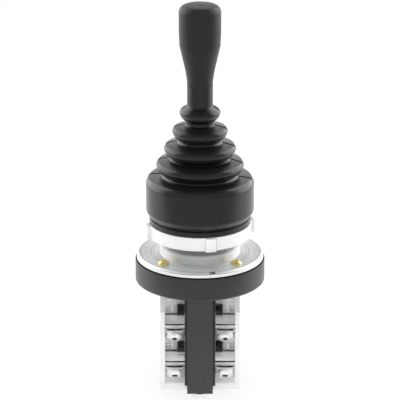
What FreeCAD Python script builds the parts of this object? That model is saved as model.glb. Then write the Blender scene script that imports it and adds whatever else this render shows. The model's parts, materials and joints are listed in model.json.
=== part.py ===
import FreeCAD, Part
import os
import re
import Sketcher

# Thirty millimetre panel joystick switch with four stacked contact blocks.
# Millimetres, +Z up along the lever, origin on the lever axis in the top face of the flange,
# which is the face that seats under the panel. The operator's side is -Y.

# Driving dimensions, grouped by the piece that they belong to
SIZES = {
    # Threaded neck and flange, one aluminium turning
    "neck_radius": 15.0,
    "neck_bore": 12.6,
    "neck_height": 18.0,
    "thread_depth": 0.5,
    "thread_start": 5.4,
    "flange_radius": 23.5,
    "flange_thick": 2.3,
    "notch_width": 2.3,
    "notch_depth": 1.1,
    "key_angle": 11.5,
    "screw_inset": 4.5,
    "screw_hole": 1.25,
    "screw_head": 2.1,
    "screw_sink": 0.85,
    "screw_length": 8.0,
    # Ring nut
    "panel_gap": 6.9,
    "nut_radius": 19.3,
    "nut_height": 5.1,
    "lug_width": 4.0,
    "lug_proud": 1.3,
    "thread_clearance": 0.05,
    # Boot
    "boot_wall": 1.1,
    "sleeve_radius": 4.92,
    "sleeve_top": 65.2,
    "crest_one_radius": 7.83,
    "crest_two_radius": 10.46,
    "crest_three_radius": 13.52,
    "crest_four_radius": 16.47,
    "crest_one_height": 54.8,
    "crest_two_height": 47.6,
    "crest_three_height": 40.9,
    "crest_four_height": 34.5,
    "saucer_run": 2.6,
    "saucer_rise": 3.7,
    "crest_inset": 0.1,
    "crest_half": 1.2,
    "root_inset": 1.75,
    "root_drop": 2.6,
    "skirt_wall": 1.6,
    "skirt_top": 28.3,
    "skirt_roof": 32.2,
    "lip_wall": 1.4,
    "lip_height": 2.1,
    "chamfer_rise": 3.1,
    "retainer_wall": 3.9,
    "retainer_foot_wall": 2.65,
    "retainer_top": 25.0,
    "boot_clearance": 0.1,
    # Lever, its pivots and the centring spring
    "pivot_height": 9.0,
    "hub_radius": 4.4,
    "hub_half": 3.8,
    "shaft_radius": 3.0,
    "shaft_top": 84.0,
    "pin_radius": 1.25,
    "running_clearance": 0.05,
    "ring_outer": 11.6,
    "ring_inner": 9.0,
    "ring_half": 2.2,
    "seat_bore": 7.6,
    "seat_thick": 1.2,
    "spring_length": 7.8,
    "spring_wire": 1.1,
    "spring_base_radius": 8.6,
    "spring_tip_radius": 5.2,
    "collar_radius": 6.4,
    "collar_height": 1.8,
    "clip_thick": 0.7,
    "clip_depth": 0.4,
    "clip_radius": 4.6,
    # Knob and its threaded insert
    "knob_radius": 7.93,
    "knob_heel_radius": 7.82,
    "knob_heel": 79.6,
    "knob_top": 95.7,
    "knob_foot": 66.2,
    "knob_edge": 1.9,
    "insert_radius": 4.2,
    "insert_start": 68.0,
    # Actuator plate under the pivot and the pushers it presses
    "pusher_offset": 7.0,
    "plate_thick": 1.2,
    "plate_width": 3.4,
    "plate_hub": 3.3,
    "plate_reach": 7.9,
    "foot_radius": 1.0,
    "foot_proud": 1.1,
    "foot_clearance": 0.05,
    "actuator_head": 2.0,
    "actuator_head_height": 1.1,
    "actuator_shank": 1.5,
    "actuator_screw_length": 3.2,
    "head_half": 2.6,
    "head_thick": 1.8,
    "rod_radius": 1.2,
    "rod_clearance": 0.06,
    "rod_flare": 3.0,
    "arm_drop": 5.75,
    "arm_thick": 2.0,
    "post_half": 1.4,
    "bar_thick": 1.4,
    "bar_half": 1.1,
    # Base moulding: disc, guide bosses and centre spine
    "base_radius": 24.3,
    "base_thick": 8.6,
    "base_edge": 0.5,
    "cavity_depth": 4.7,
    "boss_height": 3.6,
    "boss_top_radius": 4.2,
    "boss_tip_radius": 2.9,
    "spine_width": 9.7,
    "spine_half_depth": 14.6,
    "spine_bottom": 52.2,
    "groove_gap": 0.1,
    # Contact blocks
    "block_height": 15.0,
    "block_half_depth": 14.0,
    "column_offset": 9.5,
    "bay_half": 3.7,
    "outer_wall": 1.7,
    "tower_half": 5.6,
    "tower_top_half": 3.6,
    "tower_wall": 0.9,
    "shelf_drop": 5.3,
    "shelf_thick": 1.0,
    "floor_thick": 1.0,
    "floor_hole": 2.9,
    "riser_height": 8.3,
    "riser_roof": 1.1,
    "cover_thick": 1.6,
    "cover_lip": 1.1,
    # Plungers, bridges and their springs
    "cap_radius": 2.2,
    "cap_thick": 0.6,
    "cap_drop": 0.5,
    "funnel_height": 1.5,
    "funnel_radius": 1.45,
    "stem_radius": 0.8,
    "carrier_drop": 8.2,
    "carrier_height": 2.2,
    "carrier_half_width": 2.4,
    "carrier_half_depth": 1.2,
    "bridge_half_width": 1.5,
    "bridge_half_length": 4.3,
    "bridge_thick": 0.6,
    "bridge_cover": 0.5,
    "tip_radius": 0.9,
    "tip_height": 0.5,
    "tip_offset": 3.3,
    "contact_gap": 1.9,
    "coil_wire": 0.4,
    "coil_radius": 1.3,
    # Terminals
    "terminal_tilt": 37.0,
    "terminal_reach": 9.9,
    "terminal_drop": 10.0,
    "plate_half": 2.7,
    "strip_thick": 0.8,
    "strip_half_width": 1.5,
    "strip_knee": 6.5,
    "strip_end": 2.2,
    "clamp_half": 3.0,
    "clamp_thick": 0.9,
    "clamp_screw": 1.45,
    "clamp_head": 2.85,
    "clamp_head_height": 2.0,
    "clamp_tail": 1.4,
    "side_clearance": 0.05,
    # Pins and the bottom screws
    "cross_pin_radius": 0.9,
    "cross_pin_reach": 7.8,
    "cross_pin_offset": 6.0,
    "cross_pin_drop": 2.7,
    "cross_boss_radius": 2.5,
    "cross_boss_length": 2.8,
    "bottom_washer_radius": 3.3,
    "bottom_washer_thick": 0.5,
    "bottom_head_radius": 3.1,
    "bottom_head_height": 2.0,
    "bottom_screw_radius": 1.7,
    "bottom_screw_length": 12.0,
    "bottom_screw_offset": 10.9,
    "bottom_seat_height": 0.4,
}

# Levels and places worked out from the driving dimensions
DERIVED = {
    "screw_circle": "flange_radius - screw_inset",
    "thread_root": "neck_radius - thread_depth",
    "ring_bore": "thread_root + thread_clearance",
    "retainer_rim": "ring_bore + retainer_wall",
    "skirt_radius": "retainer_rim + boot_clearance + skirt_wall",
    "retainer_foot": "ring_bore + retainer_foot_wall",
    "lip_radius": "retainer_foot + boot_clearance + lip_wall",
    "nut_top": "panel_gap + nut_height",
    "base_top": "0 - flange_thick",
    "base_bottom": "base_top - base_thick",
    "cavity_floor": "base_top - cavity_depth",
    "plate_top": "pivot_height - hub_half",
    "plate_bottom": "plate_top - plate_thick",
    "head_top": "plate_bottom - foot_proud - foot_clearance",
    "head_bottom": "head_top - head_thick",
    "arm_top": "head_top - arm_drop",
    "arm_bottom": "arm_top - arm_thick",
    "spine_side": "spine_width / 2",
    "bottom_seat": "0 - spine_bottom - bottom_seat_height",
    "bar_outer": "spine_side - running_clearance",
    "bar_inner": "bar_outer - bar_thick",
    "upper_top": "base_bottom - riser_height",
    "lower_top": "upper_top - block_height",
    "inner_face": "spine_side - column_offset",
    "outer_face": "bay_half + outer_wall",
    "cap_bottom": "0 - cap_drop - cap_thick",
    "funnel_bottom": "cap_bottom - funnel_height",
    "bridge_bottom": "0 - carrier_drop - bridge_cover - bridge_thick",
    "fixed_tip_top": "bridge_bottom - tip_height - contact_gap",
    "strip_top": "fixed_tip_top - tip_height",
    "strip_bottom": "strip_top - strip_thick",
    "collar_bottom": "neck_height + seat_thick + spring_length",
    "clip_bottom": "collar_bottom + collar_height",
    "lip_top": "nut_top + lip_height",
    "boot_bore": "shaft_radius + running_clearance",
}

V = FreeCAD.Vector
X_AXIS, Y_AXIS, Z_AXIS = V(1, 0, 0), V(0, 1, 0), V(0, 0, 1)
SIDES = {"right": 0, "left": 180}
LEVELS = {"upper": "upper_top", "lower": "lower_top"}

doc = FreeCAD.newDocument("PanelJoystick")
sheet = doc.addObject("Spreadsheet::Sheet", "Sizes")
NODES = {}


def fill_sheet():
    """Write each driving dimension into its own named cell."""
    for row, (name, size) in enumerate(SIZES.items(), start=1):
        sheet.set(f"A{row}", name.replace("_", " "))
        sheet.set(f"B{row}", str(size))
        sheet.setAlias(f"B{row}", name)
    doc.recompute()


def bind(text):
    """Turn the names in a size formula into cells, opening up derived names."""

    def swap(match):
        word = match.group(0)
        if word in DERIVED:
            return "(" + bind(DERIVED[word]) + ")"
        return "Sizes." + word if word in SIZES else word

    return re.sub(r"[a-z_]+", swap, text)


def size(text):
    """Value of a size formula, in millimetres or degrees."""
    return float(sheet.evalExpression(bind(text)))


def place(item, at=("0", "0", "0"), turn=None):
    """Tie an object's position to size formulas, turned about an axis first."""
    if turn:
        axis, angle = turn
        item.Placement = FreeCAD.Placement(V(0, 0, 0), FreeCAD.Rotation(axis, size(angle)))
    for axis_name, text in zip("xyz", at):
        item.setExpression(f"Placement.Base.{axis_name}", bind(text))
    return item


def primitive(kind, at, turn, **sizes):
    item = doc.addObject("Part::" + kind, kind)
    for name, text in sizes.items():
        item.setExpression(name, bind(text))
    return place(item, at, turn)


def rod(radius, length, at=("0", "0", "0"), turn=None):
    return primitive("Cylinder", at, turn, Radius=radius, Height=length)


def cone(low, high, length, at=("0", "0", "0"), turn=None):
    return primitive("Cone", at, turn, Radius1=low, Radius2=high, Height=length)


def ball(radius, at):
    return primitive("Sphere", at, None, Radius=radius)


def block(x_span, y_span, z_span):
    """Box between two size formulas on each axis."""
    spans = (x_span, y_span, z_span)
    lengths = [f"({high}) - ({low})" for low, high in spans]
    at = tuple(low for low, _ in spans)
    return primitive("Box", at, None, Length=lengths[0], Width=lengths[1], Height=lengths[2])


def both(half):
    """Span from minus to plus a size."""
    return (f"0 - ({half})", half)


def fuse(*parts):
    item = doc.addObject("Part::MultiFuse", "Fusion")
    item.Shapes = list(parts)
    return item


def common(*parts):
    item = doc.addObject("Part::MultiCommon", "Common")
    item.Shapes = list(parts)
    return item


def cut(base, *tools):
    item = doc.addObject("Part::Cut", "Cut")
    item.Base = base
    item.Tool = tools[0] if len(tools) == 1 else fuse(*tools)
    return item


def group(*parts):
    """Separate solids kept side by side, not joined."""
    item = doc.addObject("Part::Compound", "Group")
    item.Links = list(parts)
    return item


def turned(part, angle, axis=Z_AXIS):
    """The same piece again, turned about an axis through the origin."""
    return place(group(part), turn=(axis, str(angle)))


def around(part, count, start="0"):
    """Copies of a piece spaced evenly about the lever axis."""
    return [turned(part, f"{start} + {360 / count * index}") for index in range(count)]


def node(name, item):
    """Name a finished piece; the name is also its file's name."""
    item.Label = name
    NODES[name] = item
    return item


def sketch_on(body, role, outline):
    """Closed outline of straight lines on one of the body's own planes, every corner tied to sizes."""
    sketch = body.newObject("Sketcher::SketchObject", "Outline")
    plane = next(item for item in body.Origin.OriginFeatures if item.Role == role)
    sketch.AttachmentSupport = [(plane, "")]
    sketch.MapMode = "FlatFace"
    corners = [(size(u), size(v)) for u, v in outline]
    count = len(corners)
    for index in range(count):
        start, end = corners[index], corners[(index + 1) % count]
        sketch.addGeometry(Part.LineSegment(V(*start, 0), V(*end, 0)))
    for index in range(count):
        sketch.addConstraint(Sketcher.Constraint("Coincident", index, 2, (index + 1) % count, 1))
    for index, texts in enumerate(outline):
        for kind, text, number in zip(("DistanceX", "DistanceY"), texts, corners[index]):
            row = sketch.addConstraint(Sketcher.Constraint(kind, -1, 1, index, 1, number))
            sketch.setExpression(f"Constraints[{row}]", bind(text))
    return sketch


def revolved(outline):
    """Body turned about Z from an outline of (radius, height) corners."""
    body = doc.addObject("PartDesign::Body", "Body")
    sketch = sketch_on(body, "XZ_Plane", outline)
    turning = body.newObject("PartDesign::Revolution", "Turning")
    turning.Profile = sketch
    turning.ReferenceAxis = (sketch, ["V_Axis"])
    turning.Angle = 360
    return body


def folded(outline, half_width):
    """Body of one sheet-metal section in the YZ plane, as wide to both sides of it."""
    body = doc.addObject("PartDesign::Body", "Body")
    sketch = sketch_on(body, "YZ_Plane", outline)
    pad = body.newObject("PartDesign::Pad", "Pad")
    pad.Profile = sketch
    pad.SideType = "Symmetric"
    pad.setExpression("Length", bind(f"2 * ({half_width})"))
    return body


def sleeve(low_radius, high_radius, length, wire, at):
    """Conical spring as the closed sleeve that its coils fill, one wire thick."""
    half = f"({wire}) / 2"
    body = revolved([
        (f"{low_radius} - {half}", "0"), (f"{low_radius} + {half}", "0"),
        (f"{high_radius} + {half}", length), (f"{high_radius} - {half}", length),
    ])
    return place(body, at)


def build_neck():
    """Aluminium neck with its flange, four sunk screw holes and the gimbal's pin holes."""
    body = revolved([
        ("neck_bore", "base_top"), ("flange_radius", "base_top"),
        ("flange_radius", "0"), ("neck_radius", "0"), ("neck_radius", "thread_start"),
        ("thread_root", "thread_start"), ("thread_root", "neck_height"),
        ("neck_bore", "neck_height"),
    ])
    at_hole = ("screw_circle", "0", "base_top")
    hole = fuse(
        rod("screw_hole", "flange_thick", at_hole),
        cone("screw_hole", "screw_head", "screw_sink", ("screw_circle", "0", "0 - screw_sink")),
    )
    notch = block(
        both("notch_width / 2"),
        ("0 - flange_radius - 1", "notch_depth - flange_radius"),
        ("base_top", "0"),
    )
    pin_hole = rod("pin_radius + running_clearance", "2 * neck_radius",
                   ("0 - neck_radius", "0", "pivot_height"), (Y_AXIS, "90"))
    node("neck_housing", cut(body, *around(hole, 4, "45"), turned(notch, "key_angle"), pin_hole))


def build_flange_screws():
    """Four brass countersunk screws that hold the flange to the base."""
    screw = fuse(
        rod("screw_hole", "screw_length - screw_sink", ("screw_circle", "0", "0 - screw_length")),
        cone("screw_hole", "screw_head", "screw_sink", ("screw_circle", "0", "0 - screw_sink")),
    )
    node("flange_screws", group(*around(screw, 4, "45")))


def build_ring_nut():
    """Ring nut with four spanner lugs."""
    ring = revolved([
        ("ring_bore", "panel_gap"), ("nut_radius", "panel_gap"),
        ("nut_radius", "nut_top"), ("ring_bore", "nut_top"),
    ])
    lug = block(
        both("lug_width / 2"),
        ("0 - nut_radius - lug_proud", "1 - nut_radius"),
        ("panel_gap", "nut_top"),
    )
    node("ring_nut", fuse(ring, *around(lug, 4, "key_angle")))


def boot_fold(radius, height):
    """Corners of one bellows fold, from its saucer down to the root below it."""
    return [
        (f"{radius} - saucer_run", f"{height} + saucer_rise"),
        (f"{radius} - crest_inset", f"{height} + crest_half"),
        (f"{radius} - crest_inset", f"{height} - crest_half"),
        (f"{radius} - root_inset", f"{height} - root_drop"),
    ]


def build_boot():
    """Rubber boot: sleeve on the shaft, four bellows folds and the skirt with its lip."""
    outer = [("sleeve_radius", "sleeve_top")]
    inner = [("boot_bore", "sleeve_top"), ("boot_bore", "crest_one_height + saucer_rise")]
    for name in ("one", "two", "three", "four"):
        outer += boot_fold(f"crest_{name}_radius", f"crest_{name}_height")
        inner.append((f"crest_{name}_radius - root_inset - boot_wall", f"crest_{name}_height - root_drop"))
    hem_top = "lip_top + chamfer_rise"
    outer += [
        ("skirt_radius - 2.7", "skirt_roof"), ("skirt_radius - 0.7", "(skirt_roof + skirt_top) / 2"),
        ("skirt_radius", "skirt_top"), ("skirt_radius", hem_top), ("lip_radius - 0.3", "lip_top + 0.4"),
        ("lip_radius", "lip_top"), ("lip_radius", "nut_top"),
    ]
    inner += [
        ("retainer_rim + boot_clearance", "skirt_top - skirt_wall / 2"),
        ("retainer_rim + boot_clearance", hem_top),
        ("retainer_foot + boot_clearance", f"{hem_top} - lip_wall"),
        ("retainer_foot + boot_clearance", "nut_top"),
    ]
    node("boot", revolved(outer + inner[::-1]))


def build_retainer():
    """Threaded ring on the neck that the boot's skirt is stretched over."""
    step = "lip_top + chamfer_rise + boot_clearance"
    node("boot_retainer", revolved([
        ("ring_bore", "nut_top"), ("retainer_foot", "nut_top"),
        ("retainer_foot", f"{step} - lip_wall"), ("retainer_rim", step),
        ("retainer_rim", "retainer_top"), ("ring_bore", "retainer_top"),
    ]))


def build_gimbal():
    """Gimbal ring, its two outer pins, the lever pin across it and the spacers beside the hub."""
    ring = revolved([
        ("ring_inner", "pivot_height - ring_half"), ("ring_outer", "pivot_height - ring_half"),
        ("ring_outer", "pivot_height + ring_half"), ("ring_inner", "pivot_height + ring_half"),
    ])
    across_x = rod("pin_radius", "2 * ring_outer", ("0 - ring_outer", "0", "pivot_height"),
                   (Y_AXIS, "90"))
    across_y = rod("pin_radius", "2 * ring_outer", ("0", "ring_outer", "pivot_height"),
                   (X_AXIS, "90"))
    node("gimbal_ring", cut(ring, across_x, across_y))
    pin_start = "ring_inner + 0.1"
    pin = rod("pin_radius", f"neck_radius - 0.6 - ({pin_start})",
              (pin_start, "0", "pivot_height"), (Y_AXIS, "90"))
    node("gimbal_pins", group(pin, turned(pin, 180)))
    pin_end = "ring_outer - 0.3"
    node("lever_pin", rod("pin_radius", f"2 * ({pin_end})", ("0", pin_end, "pivot_height"),
                          (X_AXIS, "90")))
    start, end = "hub_radius + running_clearance", "ring_inner - 0.4"
    tube = cut(
        rod("pin_radius + 1", f"({end}) - ({start})", ("0", f"0 - ({start})", "pivot_height"),
            (X_AXIS, "90")),
        rod("pin_radius + running_clearance", "ring_inner", ("0", "0", "pivot_height"),
            (X_AXIS, "90")),
    )
    node("lever_spacers", group(tube, turned(tube, 180)))


def build_lever():
    """Steel lever shaft with its hub, the collar and clip above the spring."""
    groove_floor = "shaft_radius - clip_depth"
    tap = "actuator_shank + 0.02"
    body = revolved([
        (tap, "plate_top"), ("hub_radius", "plate_top"),
        ("hub_radius", "pivot_height + hub_half"), ("shaft_radius", "pivot_height + hub_half"),
        ("shaft_radius", "clip_bottom"), (groove_floor, "clip_bottom"),
        (groove_floor, "clip_bottom + clip_thick"), ("shaft_radius", "clip_bottom + clip_thick"),
        ("shaft_radius", "shaft_top - 0.5"), ("shaft_radius - 0.5", "shaft_top"),
        ("0", "shaft_top"), ("0", "plate_top + actuator_shank + 0.8"),
        (tap, "plate_top + actuator_shank + 0.8"),
    ])
    cross_hole = rod("pin_radius + running_clearance", "2 * hub_radius + 2",
                     ("0", "hub_radius + 1", "pivot_height"), (X_AXIS, "90"))
    node("lever_shaft", cut(body, cross_hole))
    node("spring_collar", revolved([
        ("shaft_radius + 0.03", "collar_bottom"), ("collar_radius", "collar_bottom"),
        ("collar_radius", "collar_bottom + collar_height / 2"),
        ("collar_radius - 1", "clip_bottom"), ("shaft_radius + 0.03", "clip_bottom"),
    ]))
    clip = revolved([
        (f"{groove_floor} + 0.02", "clip_bottom"), ("clip_radius", "clip_bottom"),
        ("clip_radius", "clip_bottom + clip_thick"),
        (f"{groove_floor} + 0.02", "clip_bottom + clip_thick"),
    ])
    mouth = block(("0", "clip_radius + 1"), both(groove_floor), ("clip_bottom", "clip_bottom + clip_thick"))
    node("collar_clip", cut(clip, mouth))


def build_centring_spring():
    """Spring seat on the neck's rim and the conical centring spring."""
    top = "neck_height + seat_thick"
    node("spring_seat", revolved([
        ("seat_bore", "neck_height"), ("thread_root", "neck_height"),
        ("thread_root", top), ("seat_bore", top),
    ]))
    node("return_spring", sleeve("spring_base_radius", "spring_tip_radius", "spring_length",
                                 "spring_wire", ("0", "0", top)))


def build_knob():
    """Moulded knob with its brass insert."""
    bore = "shaft_radius + running_clearance"
    insert_end = "shaft_top + 0.6"
    node("knob", revolved([
        (bore, "sleeve_top"), ("sleeve_radius", "sleeve_top"), ("sleeve_radius", "knob_foot"),
        ("knob_heel_radius", "knob_heel"), ("knob_radius", "knob_top - knob_edge"),
        ("knob_radius - knob_edge * 0.3", "knob_top - knob_edge * 0.3"),
        ("knob_radius - knob_edge", "knob_top"), ("0", "knob_top"), ("0", insert_end),
        ("insert_radius", insert_end), ("insert_radius", "insert_start"), (bore, "insert_start"),
    ]))
    node("knob_insert", revolved([
        ("shaft_radius + 0.02", "insert_start"), ("insert_radius", "insert_start"),
        ("insert_radius", insert_end), ("shaft_radius + 0.02", insert_end),
    ]))


def build_actuator():
    """Cross-shaped plate under the pivot with four rounded feet, and its screw."""
    span = ("plate_bottom", "plate_top")
    arm = block(both("plate_reach + 1"), both("plate_width / 2"), span)
    rim = rod("plate_reach", "plate_thick", ("0", "0", "plate_bottom"))
    cross = common(fuse(arm, turned(arm, 90)), rim)
    foot = ball("foot_radius", ("pusher_offset", "0", "plate_bottom - foot_proud + foot_radius"))
    feet = common(fuse(*around(foot, 4)),
                  rod("ring_outer", "foot_radius + plate_thick",
                      ("0", "0", "plate_bottom - foot_radius")))
    hub = rod("plate_hub", "plate_thick", ("0", "0", "plate_bottom"))
    hole = rod("actuator_shank + 0.02", "plate_thick", ("0", "0", "plate_bottom"))
    node("actuator_plate", cut(fuse(cross, hub, feet), hole))
    node("actuator_screw", fuse(
        rod("actuator_head", "actuator_head_height", ("0", "0", "plate_bottom - actuator_head_height")),
        rod("actuator_shank", "actuator_screw_length", ("0", "0", "plate_bottom")),
    ))


def build_pushers():
    """Two short pushers for the upper blocks and two long ones that run down the spine."""
    head_span = ("head_bottom", "head_top")
    rod_foot = "upper_top - cap_drop"
    short = fuse(
        block(("pusher_offset - head_half", "column_offset + rod_radius"), both("head_half"), head_span),
        rod("rod_radius", f"head_bottom - ({rod_foot})", ("column_offset", "0", rod_foot)),
        cone("cap_radius", "rod_radius", "rod_flare", ("column_offset", "0", rod_foot)),
    )
    arm_span = ("arm_bottom", "arm_top")
    near = "0 - pusher_offset - post_half"
    far = "post_half - pusher_offset"
    long_one = fuse(
        block(both("head_half"), ("0 - pusher_offset - head_half", "head_half - pusher_offset"), head_span),
        block(both("post_half"), (near, far), ("arm_bottom", "head_bottom")),
        block(("0 - post_half", "bar_outer"), (near, far), arm_span),
        block(("bar_inner", "bar_outer"), (near, "bar_half"), arm_span),
        block(("bar_inner", "bar_outer"), both("bar_half"), ("lower_top - cap_drop", "arm_top")),
    )
    node("pusher_right", group(short))
    node("pusher_left", turned(short, 180))
    node("pusher_front", group(long_one))
    node("pusher_back", turned(long_one, 180))


def build_base():
    """Black moulding: disc with its cavity, two guide bosses and the spine between the blocks."""
    disc = revolved([
        ("0", "base_bottom"), ("base_radius - base_edge", "base_bottom"),
        ("base_radius", "base_bottom + base_edge"), ("base_radius", "base_top"),
        ("neck_bore", "base_top"), ("neck_bore", "cavity_floor"), ("0", "cavity_floor"),
    ])
    spine = block(both("spine_side"), both("spine_half_depth"), ("0 - spine_bottom", "base_bottom"))
    boss_at = ("column_offset", "0", "base_bottom - boss_height")
    boss = cone("boss_tip_radius", "boss_top_radius", "boss_height", boss_at)
    guide = rod("rod_radius + rod_clearance", "base_thick + boss_height", boss_at)
    slot_inner = "bar_inner - groove_gap"
    slot_half = "bar_half + groove_gap"
    slot = block((slot_inner, "spine_side"), both(slot_half), ("base_bottom", "cavity_floor"))
    groove = block((slot_inner, "spine_side"), both(slot_half),
                   ("lower_top - shelf_drop", "base_bottom"))
    tapped = rod("screw_hole", "screw_length + 0.5 - flange_thick",
                 ("screw_circle", "0", "0 - screw_length - 0.5"))
    pins = [rod("cross_pin_radius", "spine_width",
                ("0 - spine_side", f"{sign} cross_pin_offset", f"{level} - cross_pin_drop"), (Y_AXIS, "90"))
            for level in LEVELS.values() for sign in ("0 -", "0 +")]
    seat = rod("bottom_washer_radius", "bottom_seat_height", ("0", "0 - bottom_screw_offset", "bottom_seat"))
    bottom_hole = rod("bottom_screw_radius", "bottom_screw_length",
                      ("0", "0 - bottom_screw_offset", "bottom_seat"))
    solid = fuse(disc, spine, boss, turned(boss, 180), seat, turned(seat, 180))
    node("base", cut(
        solid, guide, turned(guide, 180), slot, turned(slot, 180), groove, turned(groove, 180),
        *around(tapped, 4, "45"), *pins, bottom_hole, turned(bottom_hole, 180),
    ))


def build_fasteners():
    """Cross pins through the spine, and the two screws with washers under it."""
    pins = [rod("cross_pin_radius", "2 * cross_pin_reach",
                ("0 - cross_pin_reach", f"{sign} cross_pin_offset", f"{level} - cross_pin_drop"),
                (Y_AXIS, "90"))
            for level in LEVELS.values() for sign in ("0 -", "0 +")]
    node("cross_pins", group(*pins))
    washer_at = ("0", "0 - bottom_screw_offset", "bottom_seat - bottom_washer_thick")
    head_at = (*washer_at[:2], f"{washer_at[2]} - bottom_head_height")
    washer = cut(
        rod("bottom_washer_radius", "bottom_washer_thick", washer_at),
        rod("bottom_screw_radius", "bottom_washer_thick", washer_at),
    )
    node("bottom_washer", group(washer, turned(washer, 180)))
    screw = fuse(
        cone("bottom_head_radius * 0.75", "bottom_head_radius", "bottom_head_height", head_at),
        rod("bottom_screw_radius", "bottom_screw_length - 0.5", washer_at),
    )
    node("bottom_screw", group(screw, turned(screw, 180)))


def block_body(height):
    """Solid of one block before it is hollowed, its top at local zero."""
    return block(("inner_face", "outer_face"), both("block_half_depth"), (f"0 - ({height})", "0"))


def bay(z_span, tower="tower_half"):
    """Open space in front of the tower, between the two side walls, and the same behind it."""
    front = block(both("bay_half"), ("0 - block_half_depth", f"0 - {tower}"), z_span)
    return [front, turned(front, 180)]


def build_housing():
    """Clear contact block housing: side walls, tower, shelf, terminal bays and contact chamber."""
    chamber = both("tower_half - tower_wall")
    shelf_bottom = "0 - shelf_drop - shelf_thick"
    ear_half = "bar_half + groove_gap"
    walls = ("inner_face", "0 - bay_half")
    strip_slot = block(both("strip_half_width + 0.1"), both("tower_half"),
                       ("strip_bottom - side_clearance", "strip_top + side_clearance"))
    pin_z = "0 - cross_pin_drop"
    bosses = [rod("cross_boss_radius", "cross_boss_length + 0.1",
                  ("0 - bay_half - 0.1", f"{sign} cross_pin_offset", pin_z), (Y_AXIS, "90"))
              for sign in ("0 -", "0 +")]
    pin_holes = [rod("cross_pin_radius", "bay_half", ("inner_face", f"{sign} cross_pin_offset", pin_z),
                     (Y_AXIS, "90"))
                 for sign in ("0 -", "0 +")]
    shell = cut(
        block_body("block_height"),
        *bay(("0 - shelf_drop", "0"), "tower_top_half"),
        *bay(("0 - block_height", shelf_bottom)),
        block(both("bay_half"), both("tower_top_half - tower_wall"), ("0 - shelf_drop", "0")),
        block(both("bay_half"), chamber, ("floor_thick - block_height", shelf_bottom)),
        strip_slot,
        rod("stem_radius + 0.1", "shelf_thick", ("0", "0", shelf_bottom)),
        rod("floor_hole", "floor_thick", ("0", "0", "0 - block_height")),
        block(walls, both(ear_half), ("cap_bottom - contact_gap - 0.3", "0")),
        block(("inner_face", "0"), both(ear_half), ("0 - block_height", "contact_gap - block_height")),
    )
    return cut(fuse(shell, *bosses), *pin_holes)


def build_riser():
    """Clear frame between the base disc and the upper block."""
    span = ("0 - riser_height", "0 - riser_roof")
    boss_hole = rod("boss_top_radius + 0.1", "boss_height", ("0", "0", "0 - boss_height"))
    wall_relief = block(("inner_face", "0 - bay_half"), both("bar_half + groove_gap"), span)
    return cut(
        block_body("riser_height"), *bay(span),
        block(both("bay_half"), both("tower_half - tower_wall"), span), boss_hole, wall_relief,
    )


def build_cover():
    """Clear cover under a column, with a lip that closes the foot of each terminal bay."""
    bottom = "0 - block_height - cover_thick"
    lip = block(both("bay_half - side_clearance"),
                ("0 - block_half_depth", "1 - block_half_depth"),
                ("0 - block_height", "cover_lip - block_height"))
    plate = block(("inner_face", "outer_face"), both("block_half_depth"), (bottom, "0 - block_height"))
    return fuse(plate, lip, turned(lip, 180))


def build_plunger(eared):
    """Plunger with its cap, stem and the carrier that holds the bridge."""
    parts = [
        rod("cap_radius", "cap_thick", ("0", "0", "cap_bottom")),
        cone("funnel_radius", "cap_radius", "funnel_height", ("0", "0", "funnel_bottom")),
        rod("stem_radius", "carrier_drop + funnel_bottom + 0.1", ("0", "0", "0 - carrier_drop - 0.1")),
        block(both("carrier_half_width"), both("carrier_half_depth"),
              ("0 - carrier_drop - carrier_height", "0 - carrier_drop")),
    ]
    if eared:
        parts.append(block(("bar_inner + 0.1 - column_offset", "0"), both("bar_half - 0.1"),
                           ("cap_bottom", "0 - cap_drop")))
    window = block(both("bridge_half_width"), both("carrier_half_depth"),
                   ("bridge_bottom", "bridge_bottom + bridge_thick"))
    return cut(fuse(*parts), window)


def build_bridge():
    """Moving contact bridge with a silver tip under each end."""
    strip = block(both("bridge_half_width"), both("bridge_half_length"),
                  ("bridge_bottom", "bridge_bottom + bridge_thick"))
    tip = rod("tip_radius", "tip_height", ("0", "tip_offset", "bridge_bottom - tip_height"))
    return fuse(strip, tip, turned(tip, 180))


def at_terminal(part):
    """Lay a part made along +Z on the front terminal's tilted axis."""
    return place(group(part), ("0", "0 - terminal_reach", "0 - terminal_drop"),
                 (X_AXIS, "90 + terminal_tilt"))


def build_terminal_plate():
    """Folded terminal strip: tilted clamp seat, leg into the chamber and a fixed tip."""
    rise, run = "plate_half * cos(terminal_tilt)", "plate_half * sin(terminal_tilt)"
    back_y, back_z = "strip_thick * cos(terminal_tilt)", "strip_thick * sin(terminal_tilt)"
    top = (f"0 - terminal_reach - {run}", f"{rise} - terminal_drop")
    heel = (f"{run} - terminal_reach", f"0 - {rise} - terminal_drop")
    seat = folded([
        top, heel, (f"{heel[0]} + {back_y}", f"{heel[1]} + {back_z}"),
        (f"{top[0]} + {back_y}", f"{top[1]} + {back_z}"),
    ], "bay_half - side_clearance")
    leg = folded([
        heel, ("0 - strip_knee - 0.2", "strip_bottom"), ("0 - strip_end", "strip_bottom"),
        ("0 - strip_end", "strip_top"), ("0.2 - strip_knee", "strip_top"),
        (f"{heel[0]} + {back_y}", f"{heel[1]} + {back_z}"),
    ], "strip_half_width")
    tip = rod("tip_radius", "tip_height", ("0", "0 - tip_offset", "strip_top"))
    tapped = at_terminal(rod("clamp_screw", "4 * strip_thick", ("0", "0", "0 - 2 * strip_thick")))
    plate = cut(fuse(seat, leg, tip), tapped)
    return group(plate, turned(plate, 180))


def build_clamp_washer():
    """Square clamp washer on the terminal's seat, front and back."""
    washer = at_terminal(cut(
        block(both("clamp_half"), both("clamp_half"), ("0", "clamp_thick")),
        rod("clamp_screw", "clamp_thick"),
    ))
    return group(washer, turned(washer, 180))


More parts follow.
